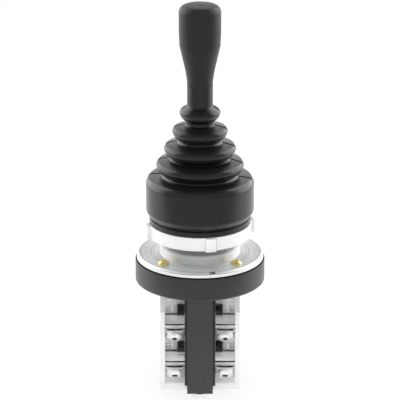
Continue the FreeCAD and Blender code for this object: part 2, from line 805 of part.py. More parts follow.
def build_terminal_screw():
    """Pan head terminal screw, front and back."""
    screw = at_terminal(fuse(
        rod("clamp_head", "clamp_head_height", ("0", "0", "clamp_thick")),
        rod("clamp_screw", "clamp_thick + strip_thick + clamp_tail",
            ("0", "0", "0 - strip_thick - clamp_tail")),
    ))
    return group(screw, turned(screw, 180))


def build_columns():
    """Both stacks of two contact blocks, each with a riser above and a cover below."""
    spring = sleeve("coil_radius", "coil_radius", "shelf_drop + funnel_bottom", "coil_wire",
                    ("0", "0", "0 - shelf_drop"))
    repeated = {
        "housing": build_housing(),
        "plunger_spring": spring,
        "contact_bridge": build_bridge(),
        "terminal_plates": build_terminal_plate(),
        "clamp_washers": build_clamp_washer(),
        "terminal_screws": build_terminal_screw(),
    }
    plungers = {"upper": build_plunger(eared=False), "lower": build_plunger(eared=True)}
    riser, cover = build_riser(), build_cover()
    for side, angle in SIDES.items():
        offset = "column_offset" if side == "right" else "0 - column_offset"
        turn = (Z_AXIS, str(angle))
        node(f"riser_{side}", place(group(riser), (offset, "0", "base_bottom"), turn))
        node(f"cover_{side}", place(group(cover), (offset, "0", "lower_top"), turn))
        for level, top in LEVELS.items():
            pieces = dict(repeated, plunger=plungers[level])
            for piece, shape in pieces.items():
                node(f"{piece}_{side}_{level}", place(group(shape), (offset, "0", top), turn))


def check_document():
    """Stop on any failed feature or unsound piece before a file is written."""
    for item in doc.Objects:
        if "Invalid" in item.State or "Error" in item.State:
            raise RuntimeError(f"{item.Name} ({item.Label}) failed: {item.State}")
    for name, item in NODES.items():
        if item.Shape.isNull() or not item.Shape.isValid() or not item.Shape.Solids:
            raise RuntimeError(f"{name} has no sound shape")


def write_parts():
    os.makedirs("parts", exist_ok=True)
    for name, item in NODES.items():
        item.Shape.exportStep(f"parts/{name}.step")
    print(f"{len(NODES)} pieces written")


fill_sheet()
build_neck()
build_flange_screws()
build_ring_nut()
build_boot()
build_retainer()
build_gimbal()
build_lever()
build_centring_spring()
build_knob()
build_actuator()
build_pushers()
build_base()
build_fasteners()
build_columns()
doc.recompute()
check_document()
write_parts()
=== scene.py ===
"""Looks of a thirty millimetre panel joystick switch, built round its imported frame.

Everything is in metres in the frame of the model: the lever points up +Z, the operator sits at -Y
and the panel rests on the flange at z = 0.
"""

import json
import logging
import math
from dataclasses import dataclass, field
from enum import Enum
from typing import Callable, Iterable, Sequence

import bpy
from mathutils import Euler, Matrix, Vector


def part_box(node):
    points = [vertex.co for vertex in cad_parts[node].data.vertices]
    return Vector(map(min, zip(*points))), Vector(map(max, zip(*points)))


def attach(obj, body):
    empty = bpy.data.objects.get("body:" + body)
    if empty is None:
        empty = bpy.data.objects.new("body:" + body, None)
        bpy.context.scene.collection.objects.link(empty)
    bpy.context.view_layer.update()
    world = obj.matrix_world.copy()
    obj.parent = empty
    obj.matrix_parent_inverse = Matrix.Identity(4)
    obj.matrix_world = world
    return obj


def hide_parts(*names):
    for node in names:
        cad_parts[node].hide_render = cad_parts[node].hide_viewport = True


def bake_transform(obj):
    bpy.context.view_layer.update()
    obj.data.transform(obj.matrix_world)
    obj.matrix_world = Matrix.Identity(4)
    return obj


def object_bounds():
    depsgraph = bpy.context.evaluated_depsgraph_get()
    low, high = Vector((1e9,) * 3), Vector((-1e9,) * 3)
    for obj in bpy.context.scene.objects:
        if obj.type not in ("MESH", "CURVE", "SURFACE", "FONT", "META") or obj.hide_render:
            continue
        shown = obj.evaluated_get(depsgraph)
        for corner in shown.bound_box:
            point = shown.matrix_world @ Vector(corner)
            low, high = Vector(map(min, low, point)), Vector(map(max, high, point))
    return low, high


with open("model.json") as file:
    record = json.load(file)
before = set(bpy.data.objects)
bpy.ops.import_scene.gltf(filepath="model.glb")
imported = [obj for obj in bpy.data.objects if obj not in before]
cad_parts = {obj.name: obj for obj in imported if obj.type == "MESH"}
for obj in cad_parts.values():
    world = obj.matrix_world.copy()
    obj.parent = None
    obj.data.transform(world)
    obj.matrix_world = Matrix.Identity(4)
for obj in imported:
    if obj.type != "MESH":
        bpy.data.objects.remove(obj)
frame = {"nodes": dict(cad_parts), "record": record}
CAD_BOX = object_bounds()

LOG = logging.getLogger("joystick")
MM = 0.001
FULL_TURN = 2 * math.pi
SPIN_STEPS = 96
WIDE_SPIN_STEPS = 128
NARROW_SPIN_STEPS = 32
ARC_STEPS = 6
MERGE_MM = 0.002
TOUCH_MM = 0.2
PIVOT_MM = 9.0

# Share of a face's normal along an axis: from ALONG on it looks that way, under ACROSS it looks aside
ALONG = 0.9
ACROSS = 0.5

# Input and output sockets of a Mix node: two numbers and, in RGBA, two colours with their result
MIX_NUMBER_A, MIX_NUMBER_B = 2, 3
MIX_COLOUR_A, MIX_COLOUR_B = 6, 7
MIX_COLOUR_RESULT = 2

Point = tuple[float, float]
Corner = tuple[float, float, float]
Colour = tuple[float, float, float, float]
FaceTest = Callable[[Vector, Vector], bool]


class Side(Enum):
    """The two columns of contact blocks; the value is the sign of x."""

    RIGHT = 1
    LEFT = -1


class Level(Enum):
    """Block levels, named as the nodes name them."""

    UPPER = "upper"
    LOWER = "lower"


def linear(hex_colour: str) -> Colour:
    """Turn an sRGB hex colour into linear RGBA.

    Args:
        hex_colour: six hex digits after a number sign.

    Returns:
        Linear red, green, blue and an alpha of 1.
    """
    channels = [int(hex_colour[i:i + 2], 16) / 255 for i in (1, 3, 5)]
    red, green, blue = (c / 12.92 if c <= 0.04045 else ((c + 0.055) / 1.055) ** 2.4 for c in channels)
    return red, green, blue, 1.0


def scaled(colour: Colour, share: float) -> Colour:
    """Make a linear colour darker or paler.

    Args:
        colour: linear RGBA.
        share: factor of red, green and blue, which stop at 1.

    Returns:
        The new colour with an alpha of 1.
    """
    red, green, blue = (min(1.0, channel * share) for channel in colour[:3])
    return red, green, blue, 1.0


def add_node(tree: bpy.types.NodeTree, kind: str, links: dict[str, bpy.types.NodeSocket] | None = None,
             values: dict[str, object] | None = None, **settings: object) -> bpy.types.Node:
    """Add a shader node with its settings, socket values and links.

    Args:
        tree: node tree that gets the node.
        kind: node type without the ShaderNode prefix.
        links: output sockets by the name or index of the input they feed.
        values: plain input values by input name or index.
        settings: attributes of the node itself.

    Returns:
        The new node.
    """
    node = tree.nodes.new("ShaderNode" + kind)
    for name, value in settings.items():
        setattr(node, name, value)
    for name, value in (values or {}).items():
        node.inputs[name].default_value = value
    for name, socket in (links or {}).items():
        tree.links.new(socket, node.inputs[name])
    return node


@dataclass(frozen=True)
class Finish:
    """One surface of the switch, as it is made and as it looks.

    Attributes:
        title: what the surface is.
        colour: sRGB hex of the material itself.
        roughness: mean micro roughness of the surface.
        metallic: share of bare metal in the look; 0 for a non-metal.
        ior: refractive index of a non-metal.
        grain_mm: size of the moulding texture, blast or grit; 0 leaves the surface smooth.
        grain_depth: strength of that texture in the bump.
        tone: how much the colour wanders in broad patches.
        turning_mm: spacing of lathe lines along Z; 0 where the piece isn't turned.
        parting_mm: width of the mould's parting line on upward faces, where it lies at a flat
            angle to the eye and is drawn wide enough to show; 0 for none.
        clear: share of light that passes straight through a wall met head on; 0 for a solid.
        edge: how much a clear wall covers where it is met at a flat angle; its colour there is a painted
            reflection.
        patch_mm: size of the patches in which the colour wanders.
        wear_mm: size of the patches in which the roughness wanders.
        wear: how much it does, as a share of itself.
        parting_turn_deg: direction of the parting plane, from the front.
        parting_thin: how many times thinner the parting line is on faces that don't look up.
        parting_dark: colour of the parting line, as a share of the surface's.
        marks_dark: colour of the lathe's tool marks, the same way.
        marks_most: most that a tool mark covers.
        marks_stretch: how far the tool marks draw a reflection out round the axis.
    """

    title: str
    colour: str
    roughness: float
    metallic: float = 0.0
    ior: float = 1.5
    grain_mm: float = 0.0
    grain_depth: float = 0.0
    tone: float = 0.04
    turning_mm: float = 0.0
    parting_mm: float = 0.0
    clear: float = 0.0
    edge: float = 0.8
    patch_mm: float = 7.0
    wear_mm: float = 3.0
    wear: float = 0.15
    parting_turn_deg: float = 7.0
    parting_thin: float = 5.0
    parting_dark: float = 0.05
    marks_dark: float = 0.35
    marks_most: float = 0.45
    marks_stretch: float = 0.65

    def build(self) -> bpy.types.Material:
        """Make the node material of this finish.

        Returns:
            The new material.
        """
        material = bpy.data.materials.new(self.title)
        material.use_nodes = True
        tree = material.node_tree
        tree.nodes.clear()
        place = add_node(tree, "TexCoord").outputs["Object"]
        shader = add_node(tree, "BsdfPrincipled", values={"Metallic": self.metallic})
        if not self.metallic:
            shader.inputs["IOR"].default_value = self.ior
        if self.clear:
            self._clearness(tree, shader)
        self._colour(tree, place, shader)
        self._roughness(tree, place, shader)
        self._relief(tree, place, shader)
        out = add_node(tree, "OutputMaterial", links={"Surface": shader.outputs["BSDF"]})
        out.is_active_output = True
        return material

    def _colour(self, tree: bpy.types.NodeTree, place: bpy.types.NodeSocket,
                shader: bpy.types.Node) -> None:
        """Let the colour wander a little in patches, under any tool marks and parting line.

        Args:
            tree: node tree that gets the nodes.
            place: object coordinates.
            shader: surface shader that they feed.
        """
        patches = add_node(tree, "TexNoise", links={"Vector": place},
                           values={"Scale": 1 / (self.patch_mm * MM), "Detail": 3.0, "Roughness": 0.6})
        base = linear(self.colour)
        mix = add_node(tree, "Mix", data_type="RGBA", links={0: patches.outputs["Fac"]},
                       values={MIX_COLOUR_A: scaled(base, 1 - self.tone),
                               MIX_COLOUR_B: scaled(base, 1 + self.tone)})
        if self.turning_mm:
            mix = self._tool_marks(tree, place, mix)
        if self.parting_mm:
            mix = self._parting_line(tree, place, mix, shader)
        tree.links.new(mix.outputs[MIX_COLOUR_RESULT], shader.inputs["Base Color"])

    def _parting_line(self, tree: bpy.types.NodeTree, place: bpy.types.NodeSocket,
                      under: bpy.types.Node, shader: bpy.types.Node) -> bpy.types.Node:
        """Dark dull line where the halves of the mould meet.

        Args:
            tree: node tree that gets the nodes.
            place: object coordinates.
            under: colour mix that lies under the line.
            shader: surface shader, whose gloss goes on the line.

        Returns:
            The colour mix with the line.
        """
        turn = math.radians(self.parting_turn_deg)
        side = add_node(tree, "VectorMath", operation="DOT_PRODUCT", links={0: place},
                        values={1: (math.sin(turn), math.cos(turn), 0)})
        off = add_node(tree, "Math", operation="ABSOLUTE", links={0: side.outputs["Value"]})
        normal = add_node(tree, "NewGeometry").outputs["Normal"]
        facing = add_node(tree, "SeparateXYZ", links={"Vector": normal})
        thin = add_node(tree, "MapRange", links={"Value": facing.outputs["Z"]},
                        values={"From Min": 0.2, "From Max": 0.6, "To Min": self.parting_thin,
                                "To Max": 1.0})
        off = add_node(tree, "Math", operation="MULTIPLY",
                       links={0: off.outputs[0], 1: thin.outputs["Result"]})
        line = add_node(tree, "MapRange", links={"Value": off.outputs[0]},
                        values={"From Min": self.parting_mm * MM / 2, "From Max": self.parting_mm * MM,
                                "To Min": 1.0, "To Max": 0.0})
        shine = add_node(tree, "MapRange", links={"Value": line.outputs["Result"]},
                         values={"To Min": 0.5, "To Max": 0.0})
        tree.links.new(shine.outputs["Result"], shader.inputs["Specular IOR Level"])
        return add_node(tree, "Mix", data_type="RGBA",
                        links={0: line.outputs["Result"],
                               MIX_COLOUR_A: under.outputs[MIX_COLOUR_RESULT]},
                        values={MIX_COLOUR_B: scaled(linear(self.colour), self.parting_dark)})

    def _tool_marks(self, tree: bpy.types.NodeTree, place: bpy.types.NodeSocket,
                    under: bpy.types.Node) -> bpy.types.Node:
        """Rings round the axis, as the lathe leaves them on flat and on round faces.

        Args:
            tree: node tree that gets the nodes.
            place: object coordinates.
            under: colour mix that lies under the marks.

        Returns:
            The colour mix with the marks.
        """
        across = add_node(tree, "VectorMath", operation="MULTIPLY", links={0: place},
                          values={1: (1, 1, 0)})
        radius = add_node(tree, "VectorMath", operation="LENGTH", links={0: across.outputs["Vector"]})
        along = add_node(tree, "SeparateXYZ", links={"Vector": place})
        track = add_node(tree, "CombineXYZ",
                         links={"X": radius.outputs["Value"], "Z": along.outputs["Z"]})
        marks = add_node(tree, "TexNoise", links={"Vector": track.outputs["Vector"]},
                         values={"Scale": 1 / (self.turning_mm * MM * 2), "Detail": 3.0,
                                 "Roughness": 0.6})
        share = add_node(tree, "MapRange", links={"Value": marks.outputs["Fac"]},
                         values={"From Min": 0.4, "From Max": 0.65, "To Min": 0.0,
                                 "To Max": self.marks_most})
        return add_node(tree, "Mix", data_type="RGBA",
                        links={0: share.outputs["Result"],
                               MIX_COLOUR_A: under.outputs[MIX_COLOUR_RESULT]},
                        values={MIX_COLOUR_B: scaled(linear(self.colour), self.marks_dark)})

    def _clearness(self, tree: bpy.types.NodeTree, shader: bpy.types.Node) -> None:
        """A clear wall passes light straight on, less so where it is met at a flat angle, where its
        colour stands in as a painted reflection.

        Args:
            tree: node tree that gets the nodes.
            shader: surface shader that they feed.
        """
        flat = add_node(tree, "LayerWeight", values={"Blend": 0.5})
        sharp = add_node(tree, "Math", operation="POWER", links={0: flat.outputs["Facing"]},
                         values={1: 1.6})
        cover = add_node(tree, "MapRange", links={"Value": sharp.outputs[0]},
                         values={"To Min": 1 - self.clear, "To Max": self.edge})
        tree.links.new(cover.outputs["Result"], shader.inputs["Alpha"])

    def _roughness(self, tree: bpy.types.NodeTree, place: bpy.types.NodeSocket,
                   shader: bpy.types.Node) -> None:
        """Handled places are a little smoother than the rest.

        Args:
            tree: node tree that gets the nodes.
            place: object coordinates.
            shader: surface shader that they feed.
        """
        worn = add_node(tree, "TexNoise", links={"Vector": place},
                        values={"Scale": 1 / (self.wear_mm * MM), "Detail": 5.0, "Roughness": 0.65})
        spread = add_node(tree, "MapRange", links={"Value": worn.outputs["Fac"]},
                          values={"From Min": 0.3, "From Max": 0.7,
                                  "To Min": self.roughness * (1 - self.wear),
                                  "To Max": min(1.0, self.roughness * (1 + self.wear))})
        tree.links.new(spread.outputs["Result"], shader.inputs["Roughness"])

    def _relief(self, tree: bpy.types.NodeTree, place: bpy.types.NodeSocket,
                shader: bpy.types.Node) -> None:
        """Moulding grain or lathe lines as bump.

        Args:
            tree: node tree that gets the nodes.
            place: object coordinates.
            shader: surface shader that they feed.
        """
        normal = None
        if self.grain_mm:
            grain = add_node(tree, "TexNoise", links={"Vector": place},
                             values={"Scale": 1 / (self.grain_mm * MM), "Detail": 2.0, "Roughness": 0.5})
            bump = add_node(tree, "Bump", links={"Height": grain.outputs["Fac"]},
                            values={"Strength": self.grain_depth, "Distance": self.grain_mm * MM * 0.4})
            normal = bump.outputs["Normal"]
        if self.turning_mm:
            tangent = add_node(tree, "Tangent", direction_type="RADIAL", axis="Z")
            tree.links.new(tangent.outputs["Tangent"], shader.inputs["Tangent"])
            shader.inputs["Anisotropic"].default_value = self.marks_stretch
            lines = add_node(tree, "TexWave", links={"Vector": place}, wave_type="BANDS",
                             bands_direction="Z",
                             values={"Scale": 1 / (self.turning_mm * MM * 20), "Distortion": 0.3,
                                     "Detail": 2.0})
            bump = add_node(tree, "Bump", links={"Height": lines.outputs["Fac"]},
                            values={"Strength": 0.12, "Distance": 0.01 * MM})
            if normal:
                tree.links.new(normal, bump.inputs["Normal"])
            normal = bump.outputs["Normal"]
        if normal:
            tree.links.new(normal, shader.inputs["Normal"])


# Moulded EPDM rubber: nearly black, soft sheen only where it turns away, fine powdery grain
BOOT_RUBBER = Finish("Moulded EPDM rubber", "#101011", 0.25, ior=1.58, grain_mm=0.25, grain_depth=0.05,
                     tone=0.1, parting_mm=0.85)
# Phenolic grip from a polished mould: dark grey, with a soft reflection of the room
GRIP_PLASTIC = Finish("Moulded phenolic grip", "#1B1B1C", 0.4, ior=1.45, grain_mm=0.5, grain_depth=0.05,
                      parting_mm=0.16)
# Glass-filled nylon from a spark-eroded mould: even matt charcoal with a fine leathery grain
BASE_NYLON = Finish("Glass filled nylon", "#272728", 0.36, ior=1.62, grain_mm=0.35, grain_depth=0.2,
                    tone=0.08)
# Turned aluminium: bright, with circular tool marks that draw the reflections out
TURNED_ALUMINIUM = Finish("Turned aluminium", "#F3F4F4", 0.42, metallic=0.85, turning_mm=0.5, tone=0.06)
# Black ring under the flange: dull black, painted shadow that draws the dark line where the flange meets
# the base
PAINTED_SHADOW_RING = Finish("Black ring of painted shadow", "#060606", 0.7, ior=1.2, tone=0.1)
# The thread: the same aluminium, painted darker all over as painted shade for the grooves between its
# ridges
PAINTED_SHADE_THREAD = Finish("Aluminium thread in painted shade", "#C8CACC", 0.35, metallic=1.0)
# Bead-blasted and clear-anodised aluminium: even, white and satin, so less mirror than bare metal
BLASTED_ALUMINIUM = Finish("Bead blasted aluminium", "#E8E9E9", 0.5, metallic=0.35, grain_mm=0.15,
                           grain_depth=0.1, tone=0.02)
# Clear polycarbonate: thin polished walls that vanish head on; along their flats their white covers them
# as a painted reflection
CLEAR_BLOCK = Finish("Clear polycarbonate", "#F6F7F8", 0.12, ior=1.58, tone=0.02, clear=0.78, edge=0.75)
# The same plastic with a ground face, on the shelves: frosted, grey in the shade of the block above
FROSTED_PLATE = Finish("Frosted polycarbonate", "#FAFBFB", 0.6, ior=1.58, grain_mm=0.5, grain_depth=0.2,
                       tone=0.05)
# The end faces of the outer walls, sawn: frosted and a little darker
FROSTED_WALL = Finish("Frosted wall end", "#D8DADB", 0.5, ior=1.58, grain_mm=0.8, grain_depth=0.3,
                      tone=0.08)
# The same walls where they lie on the black spine, painted nearly black: a painted view of the spine
# through them; the same painted shade draws the dark lines on the shelves
PAINTED_DARK_CLEAR = Finish("Clear polycarbonate in painted shade", "#0B0B0C", 0.1, ior=1.58, tone=0.02, clear=0.12,
                        edge=0.95)
# Moulded natural nylon: milky white, silky
NATURAL_NYLON = Finish("Natural nylon", "#DEDBD2", 0.4, ior=1.53, grain_mm=0.3, grain_depth=0.08)
# Bright zinc plated on steel: slightly blue, even
ZINC_STEEL = Finish("Bright zinc plated steel", "#F1F2F3", 0.3, metallic=0.6, grain_mm=0.15,
                    grain_depth=0.05)
# Painted shade on metal: nearly black, on the clamps' edges, in the pan screws' recesses and in the
# flange's notch
PAINTED_SHADE_METAL = Finish("Sheared steel edge", "#1C1D1F", 0.55, metallic=0.5)
# Nickel plated on rolled brass strip: warm grey, with a fine rolled grain
NICKEL_STRIP = Finish("Nickel plated strip", "#DEDCD6", 0.28, metallic=1.0, grain_mm=0.2,
                      grain_depth=0.05)
# Rolled bronze spring strip of the moving contact: reddish gold
CONTACT_BRONZE = Finish("Contact bronze", "#C9A56B", 0.3, metallic=1.0)
# Turned brass: pale gold, bright on the crowns of the screws
BRIGHT_BRASS = Finish("Turned brass", "#F4DA90", 0.28, metallic=0.85, grain_mm=0.15, grain_depth=0.04)

SLOT_FINISH = {
    "knob_plastic": GRIP_PLASTIC,
    "boot_rubber": BOOT_RUBBER,
    "aluminium": TURNED_ALUMINIUM,
    "black_plastic": BASE_NYLON,
    "clear_plastic": CLEAR_BLOCK,
    "white_plastic": NATURAL_NYLON,
    "steel": ZINC_STEEL,
    "tinned_plate": NICKEL_STRIP,
    "contact_alloy": CONTACT_BRONZE,
    "brass": BRIGHT_BRASS,
}


@dataclass
class Wardrobe:
    """The built materials, one for each record slot, and how a piece puts one on."""

    materials: dict[str, bpy.types.Material] = field(default_factory=dict)

    def material(self, slot: str) -> bpy.types.Material:
        """Material of a record slot."""
        return self.special(SLOT_FINISH[slot])

    def special(self, finish: Finish) -> bpy.types.Material:
        """Material of a finish, built when it is first asked for.

        Args:
            finish: the finish.

        Returns:
            Its one material.
        """
        if finish.title not in self.materials:
            self.materials[finish.title] = finish.build()
        return self.materials[finish.title]

    def wear(self, piece: bpy.types.Object, slot: str, finish: Finish | None = None) -> None:
        """Give a new piece the material of its slot.

        Args:
            piece: piece to dress.
            slot: record slot that it takes its finish from.
            finish: a finish of its own, where one slot's parts were surfaced differently.
        """
        piece.data.materials.clear()
        piece.data.materials.append(self.special(finish or SLOT_FINISH[slot]))

    def shade(self, piece: bpy.types.Object, finish: Finish, wanted: FaceTest) -> None:
        """Give some faces of a dressed piece another finish.

        Args:
            piece: dressed piece.
            finish: finish of the chosen faces.
            wanted: test of a face's centre in millimetres and its normal.
        """
        material = self.special(finish)
        if material.name not in piece.data.materials:
            piece.data.materials.append(material)
        if Bench.select_faces(piece, wanted):
            piece.active_material_index = piece.data.materials.find(material.name)
            bpy.ops.object.material_slot_assign()
        bpy.ops.object.mode_set(mode="OBJECT")
        Bench.deselect()

    def dress_frame(self, record: dict) -> None:
        """Give every node of the frame the material of its slot.

        Args:
            record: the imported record.
        """
        for row in record["subparts"]:
            node = frame["nodes"][row["node"]]
            node.data.materials.clear()
            node.data.materials.append(self.material(row["material_slot"]))


class Bench:
    """Modelling by operators, from a primitive or a frame's node to a finished, deselected piece."""

    @staticmethod
    def deselect() -> None:
        """Deselect every object."""
        bpy.ops.object.select_all(action="DESELECT")

    @staticmethod
    def pick(*objects: bpy.types.Object) -> None:
        """Select only these objects, the first one active.

        Args:
            objects: objects to select.
        """
        if bpy.context.mode != "OBJECT":
            bpy.ops.object.mode_set(mode="OBJECT")
        Bench.deselect()
        for item in objects:
            item.select_set(True)
        bpy.context.view_layer.objects.active = objects[0]

    @staticmethod
    def edit(item: bpy.types.Object, whole: bool = True) -> None:
        """Open an object in edit mode.

        Args:
            item: object to open.
            whole: True to select all of it, False to select nothing.
        """
        Bench.pick(item)
        bpy.ops.object.mode_set(mode="EDIT")
        bpy.ops.mesh.select_mode(type="VERT")
        bpy.ops.mesh.select_all(action="SELECT" if whole else "DESELECT")

    @staticmethod
    def face_out() -> None:
        """Turn the faces of the open object outwards."""
        bpy.ops.mesh.select_all(action="SELECT")
        bpy.ops.mesh.normals_make_consistent(inside=False)

    @staticmethod
    def done(item: bpy.types.Object, name: str, smooth_deg: float = 35.0) -> bpy.types.Object:
        """Leave edit mode, settle the place into the mesh, name it and smooth it by angle.

        Args:
            item: object to settle.
            name: its name.
            smooth_deg: angle under which neighbouring faces shade smoothly.

        Returns:
            The object, deselected.
        """
        bpy.ops.object.mode_set(mode="OBJECT")
        Bench.pick(item)
        bpy.ops.object.transform_apply(location=True, rotation=True, scale=True)
        item.name = name
        item.data.name = name
        bpy.ops.object.shade_smooth_by_angle(angle=math.radians(smooth_deg))
        Bench.deselect()
        return item

    @staticmethod
    def lathe(name: str, outline: Sequence[Point], steps: int = SPIN_STEPS,
              smooth_deg: float = 35.0) -> bpy.types.Object:
        """Spin a closed outline about the Z axis.

        Args:
            name: name of the piece.
            outline: (radius, height) points in millimetres, in order.
            steps: spin steps in a full turn.
            smooth_deg: angle under which neighbouring faces shade smoothly.

        Returns:
            The closed, outward-facing shell.
        """
        Bench.deselect()
        bpy.ops.mesh.primitive_plane_add(size=MM, location=(outline[0][0] * MM, 0, outline[0][1] * MM))
        item = bpy.context.active_object
        Bench.edit(item)
        bpy.ops.mesh.merge(type="CENTER")
        here = outline[0]
        for there in (*outline[1:], outline[0]):
            step = ((there[0] - here[0]) * MM, 0.0, (there[1] - here[1]) * MM)
            bpy.ops.mesh.extrude_region_move(TRANSFORM_OT_translate={"value": step})
            here = there
        bpy.ops.mesh.select_all(action="SELECT")
        bpy.ops.mesh.remove_doubles(threshold=MERGE_MM * MM)
        bpy.ops.mesh.spin(steps=steps, angle=FULL_TURN, center=(0, 0, 0), axis=(0, 0, 1))
        bpy.ops.mesh.select_all(action="SELECT")
        bpy.ops.mesh.remove_doubles(threshold=MERGE_MM * MM)
        bpy.ops.mesh.delete_loose()
        Bench.face_out()
        return Bench.done(item, name, smooth_deg)

    @staticmethod
    def slab(name: str, low: Sequence[float], high: Sequence[float],
             bevel: float = 0.0) -> bpy.types.Object:
        """Box between two corners, its edges rounded in edit mode.

        Args:
            name: name of the piece.
            low: lowest corner in millimetres.
            high: highest corner.
            bevel: edge rounding.

        Returns:
            The box.
        """
        centre = [(a + b) / 2 * MM for a, b in zip(low, high)]
        Bench.deselect()
        bpy.ops.mesh.primitive_cube_add(size=1.0, location=centre)
        item = bpy.context.active_object
        Bench.edit(item)
        spans = [(b - a) * MM for a, b in zip(low, high)]
        bpy.ops.transform.resize(value=spans, center_override=centre)
        if bevel:
            bpy.ops.mesh.bevel(offset=bevel * MM, segments=2, affect="EDGES")
        return Bench.done(item, name)

    @staticmethod
    def wind(name: str, section: bpy.types.Object, steps: int, count: int, rise: float,
             narrow: float = 1.0, smooth_deg: float = 35.0) -> bpy.types.Object:
        """Draw a section round the Z axis along a helix, step by step.

        Args:
            name: name of the piece.
            section: the section, standing where the helix starts.
            steps: steps in a full turn.
            count: number of steps.
            rise: rise of one step in metres.
            narrow: factor of the radius at each step.
            smooth_deg: angle under which neighbouring faces shade smoothly.

        Returns:
            The wound piece.
        """
        Bench.edit(section)
        for _ in range(count):
            bpy.ops.mesh.extrude_region_move(TRANSFORM_OT_translate={"value": (0, 0, rise)})
            bpy.ops.transform.rotate(value=FULL_TURN / steps, orient_axis="Z", center_override=(0, 0, 0))
            if narrow != 1.0:
                bpy.ops.transform.resize(value=(narrow, narrow, 1), center_override=(0, 0, 0))
        Bench.face_out()
        return Bench.done(section, name, smooth_deg)

    @staticmethod
    def select_faces(item: bpy.types.Object, wanted: FaceTest) -> int:
        """Select the faces whose centre and normal pass a test; the object is in edit mode after.

        Args:
            item: object to look at.
            wanted: test of a face's centre in millimetres and its normal.

        Returns:
            How many faces were selected.
        """
        Bench.edit(item, whole=False)
        bpy.ops.mesh.select_mode(type="FACE")
        bpy.ops.object.mode_set(mode="OBJECT")
        count = 0
        for face in item.data.polygons:
            face.select = wanted(face.center / MM, face.normal)
            count += face.select
        bpy.ops.object.mode_set(mode="EDIT")
        return count

    @staticmethod
    def split(item: bpy.types.Object, axis: str, *places: float) -> None:
        """Draw an edge round a piece where a plane across an axis meets it; its faces end there.

        Args:
            item: piece to draw on; its shape stays.
            axis: X, Y or Z.
            places: where the planes stand on that axis, in millimetres.
        """
        for place in places:
            normal = [float(letter == axis) for letter in "XYZ"]
            Bench.edit(item)
            bpy.ops.mesh.bisect(plane_co=[share * place * MM for share in normal], plane_no=normal)
            bpy.ops.object.mode_set(mode="OBJECT")

    @staticmethod
    def apply(item: bpy.types.Object, kind: str, **settings: object) -> bpy.types.Object:
        """Add a modifier with its settings and apply it.

        Args:
            item: piece to work on.
            kind: modifier type.
            settings: attributes of the modifier.

        Returns:
            The piece.
        """
        Bench.pick(item)
        modifier = item.modifiers.new(kind.title(), kind)
        for name, value in settings.items():
            setattr(modifier, name, value)
        bpy.ops.object.modifier_apply(modifier=modifier.name)
        Bench.deselect()
        return item

    @staticmethod
    def remove(*items: bpy.types.Object) -> None:
        """Throw objects away."""
        for item in items:
            bpy.data.objects.remove(item)

    @staticmethod
    def carve(item: bpy.types.Object, *cutters: bpy.types.Object) -> None:
        """Cut closed shapes out of a piece.

        Args:
            item: piece to cut.
            cutters: closed shapes, which are gone afterwards.
        """
        for cutter in cutters:
            Bench.apply(item, "BOOLEAN", object=cutter, operation="DIFFERENCE", solver="EXACT")
            Bench.remove(cutter)

    @staticmethod
    def join(name: str, items: Sequence[bpy.types.Object]) -> bpy.types.Object:
        """Join pieces into one object.

        Args:
            name: name of the object.
            items: the pieces.

        Returns:
            The object, deselected.
        """
        Bench.pick(*items)
        if len(items) > 1:
            bpy.ops.object.join()
        joined = items[0]
        joined.name = name
        joined.data.name = name
        Bench.deselect()
        return joined

    @staticmethod
    def copy(item: bpy.types.Object, name: str, move: Matrix) -> bpy.types.Object:
        """Copy a piece with its own mesh, moved in the mesh itself.

        Args:
            item: piece to copy; it stays.
            name: name of the copy.
            move: matrix of the copy's place.

        Returns:
            The copy.
        """
        twin = item.copy()
        twin.data = item.data.copy()
        twin.data.transform(move)
        twin.name = name
        twin.data.name = name
        bpy.context.scene.collection.objects.link(twin)
        return twin

    @staticmethod
    def copies(item: bpy.types.Object, moves: Iterable[Matrix], keep: bool = False
               ) -> list[bpy.types.Object]:
        """Copy a piece to several places.

        Args:
            item: piece to copy.
            moves: matrix of each place.
            keep: True where the piece itself is still needed.

        Returns:
            The copies.
        """
        made = [Bench.copy(item, f"{item.name}_{index}", move) for index, move in enumerate(moves)]
        if not keep:
            Bench.remove(item)
        return made

    @staticmethod
    def refined(node: str, name: str, bevel: float, segments: int = 2) -> bpy.types.Object:
        """Copy a frame node, merge its loose triangles into clean faces and round its edges.

        Args:
            node: name of the frame node.
            name: name of the new piece.
            bevel: edge rounding in millimetres.
            segments: steps of that rounding.

        Returns:
            The new piece; the node itself is untouched.
        """
        source = frame["nodes"][node]
        item = bpy.data.objects.new(name, source.data.copy())
        bpy.context.scene.collection.objects.link(item)
        Bench.pick(item)
        if item.data.has_custom_normals:
            bpy.ops.mesh.customdata_custom_splitnormals_clear()
        Bench.edit(item)
        bpy.ops.mesh.remove_doubles(threshold=MERGE_MM / 2 * MM)
        bpy.ops.mesh.dissolve_limited(angle_limit=math.radians(0.5))
        bpy.ops.object.mode_set(mode="OBJECT")
        Bench.apply(item, "BEVEL", width=bevel * MM, segments=segments, limit_method="ANGLE",
                    angle_limit=math.radians(40), harden_normals=False)
        return Bench.done(item, name, smooth_deg=30)


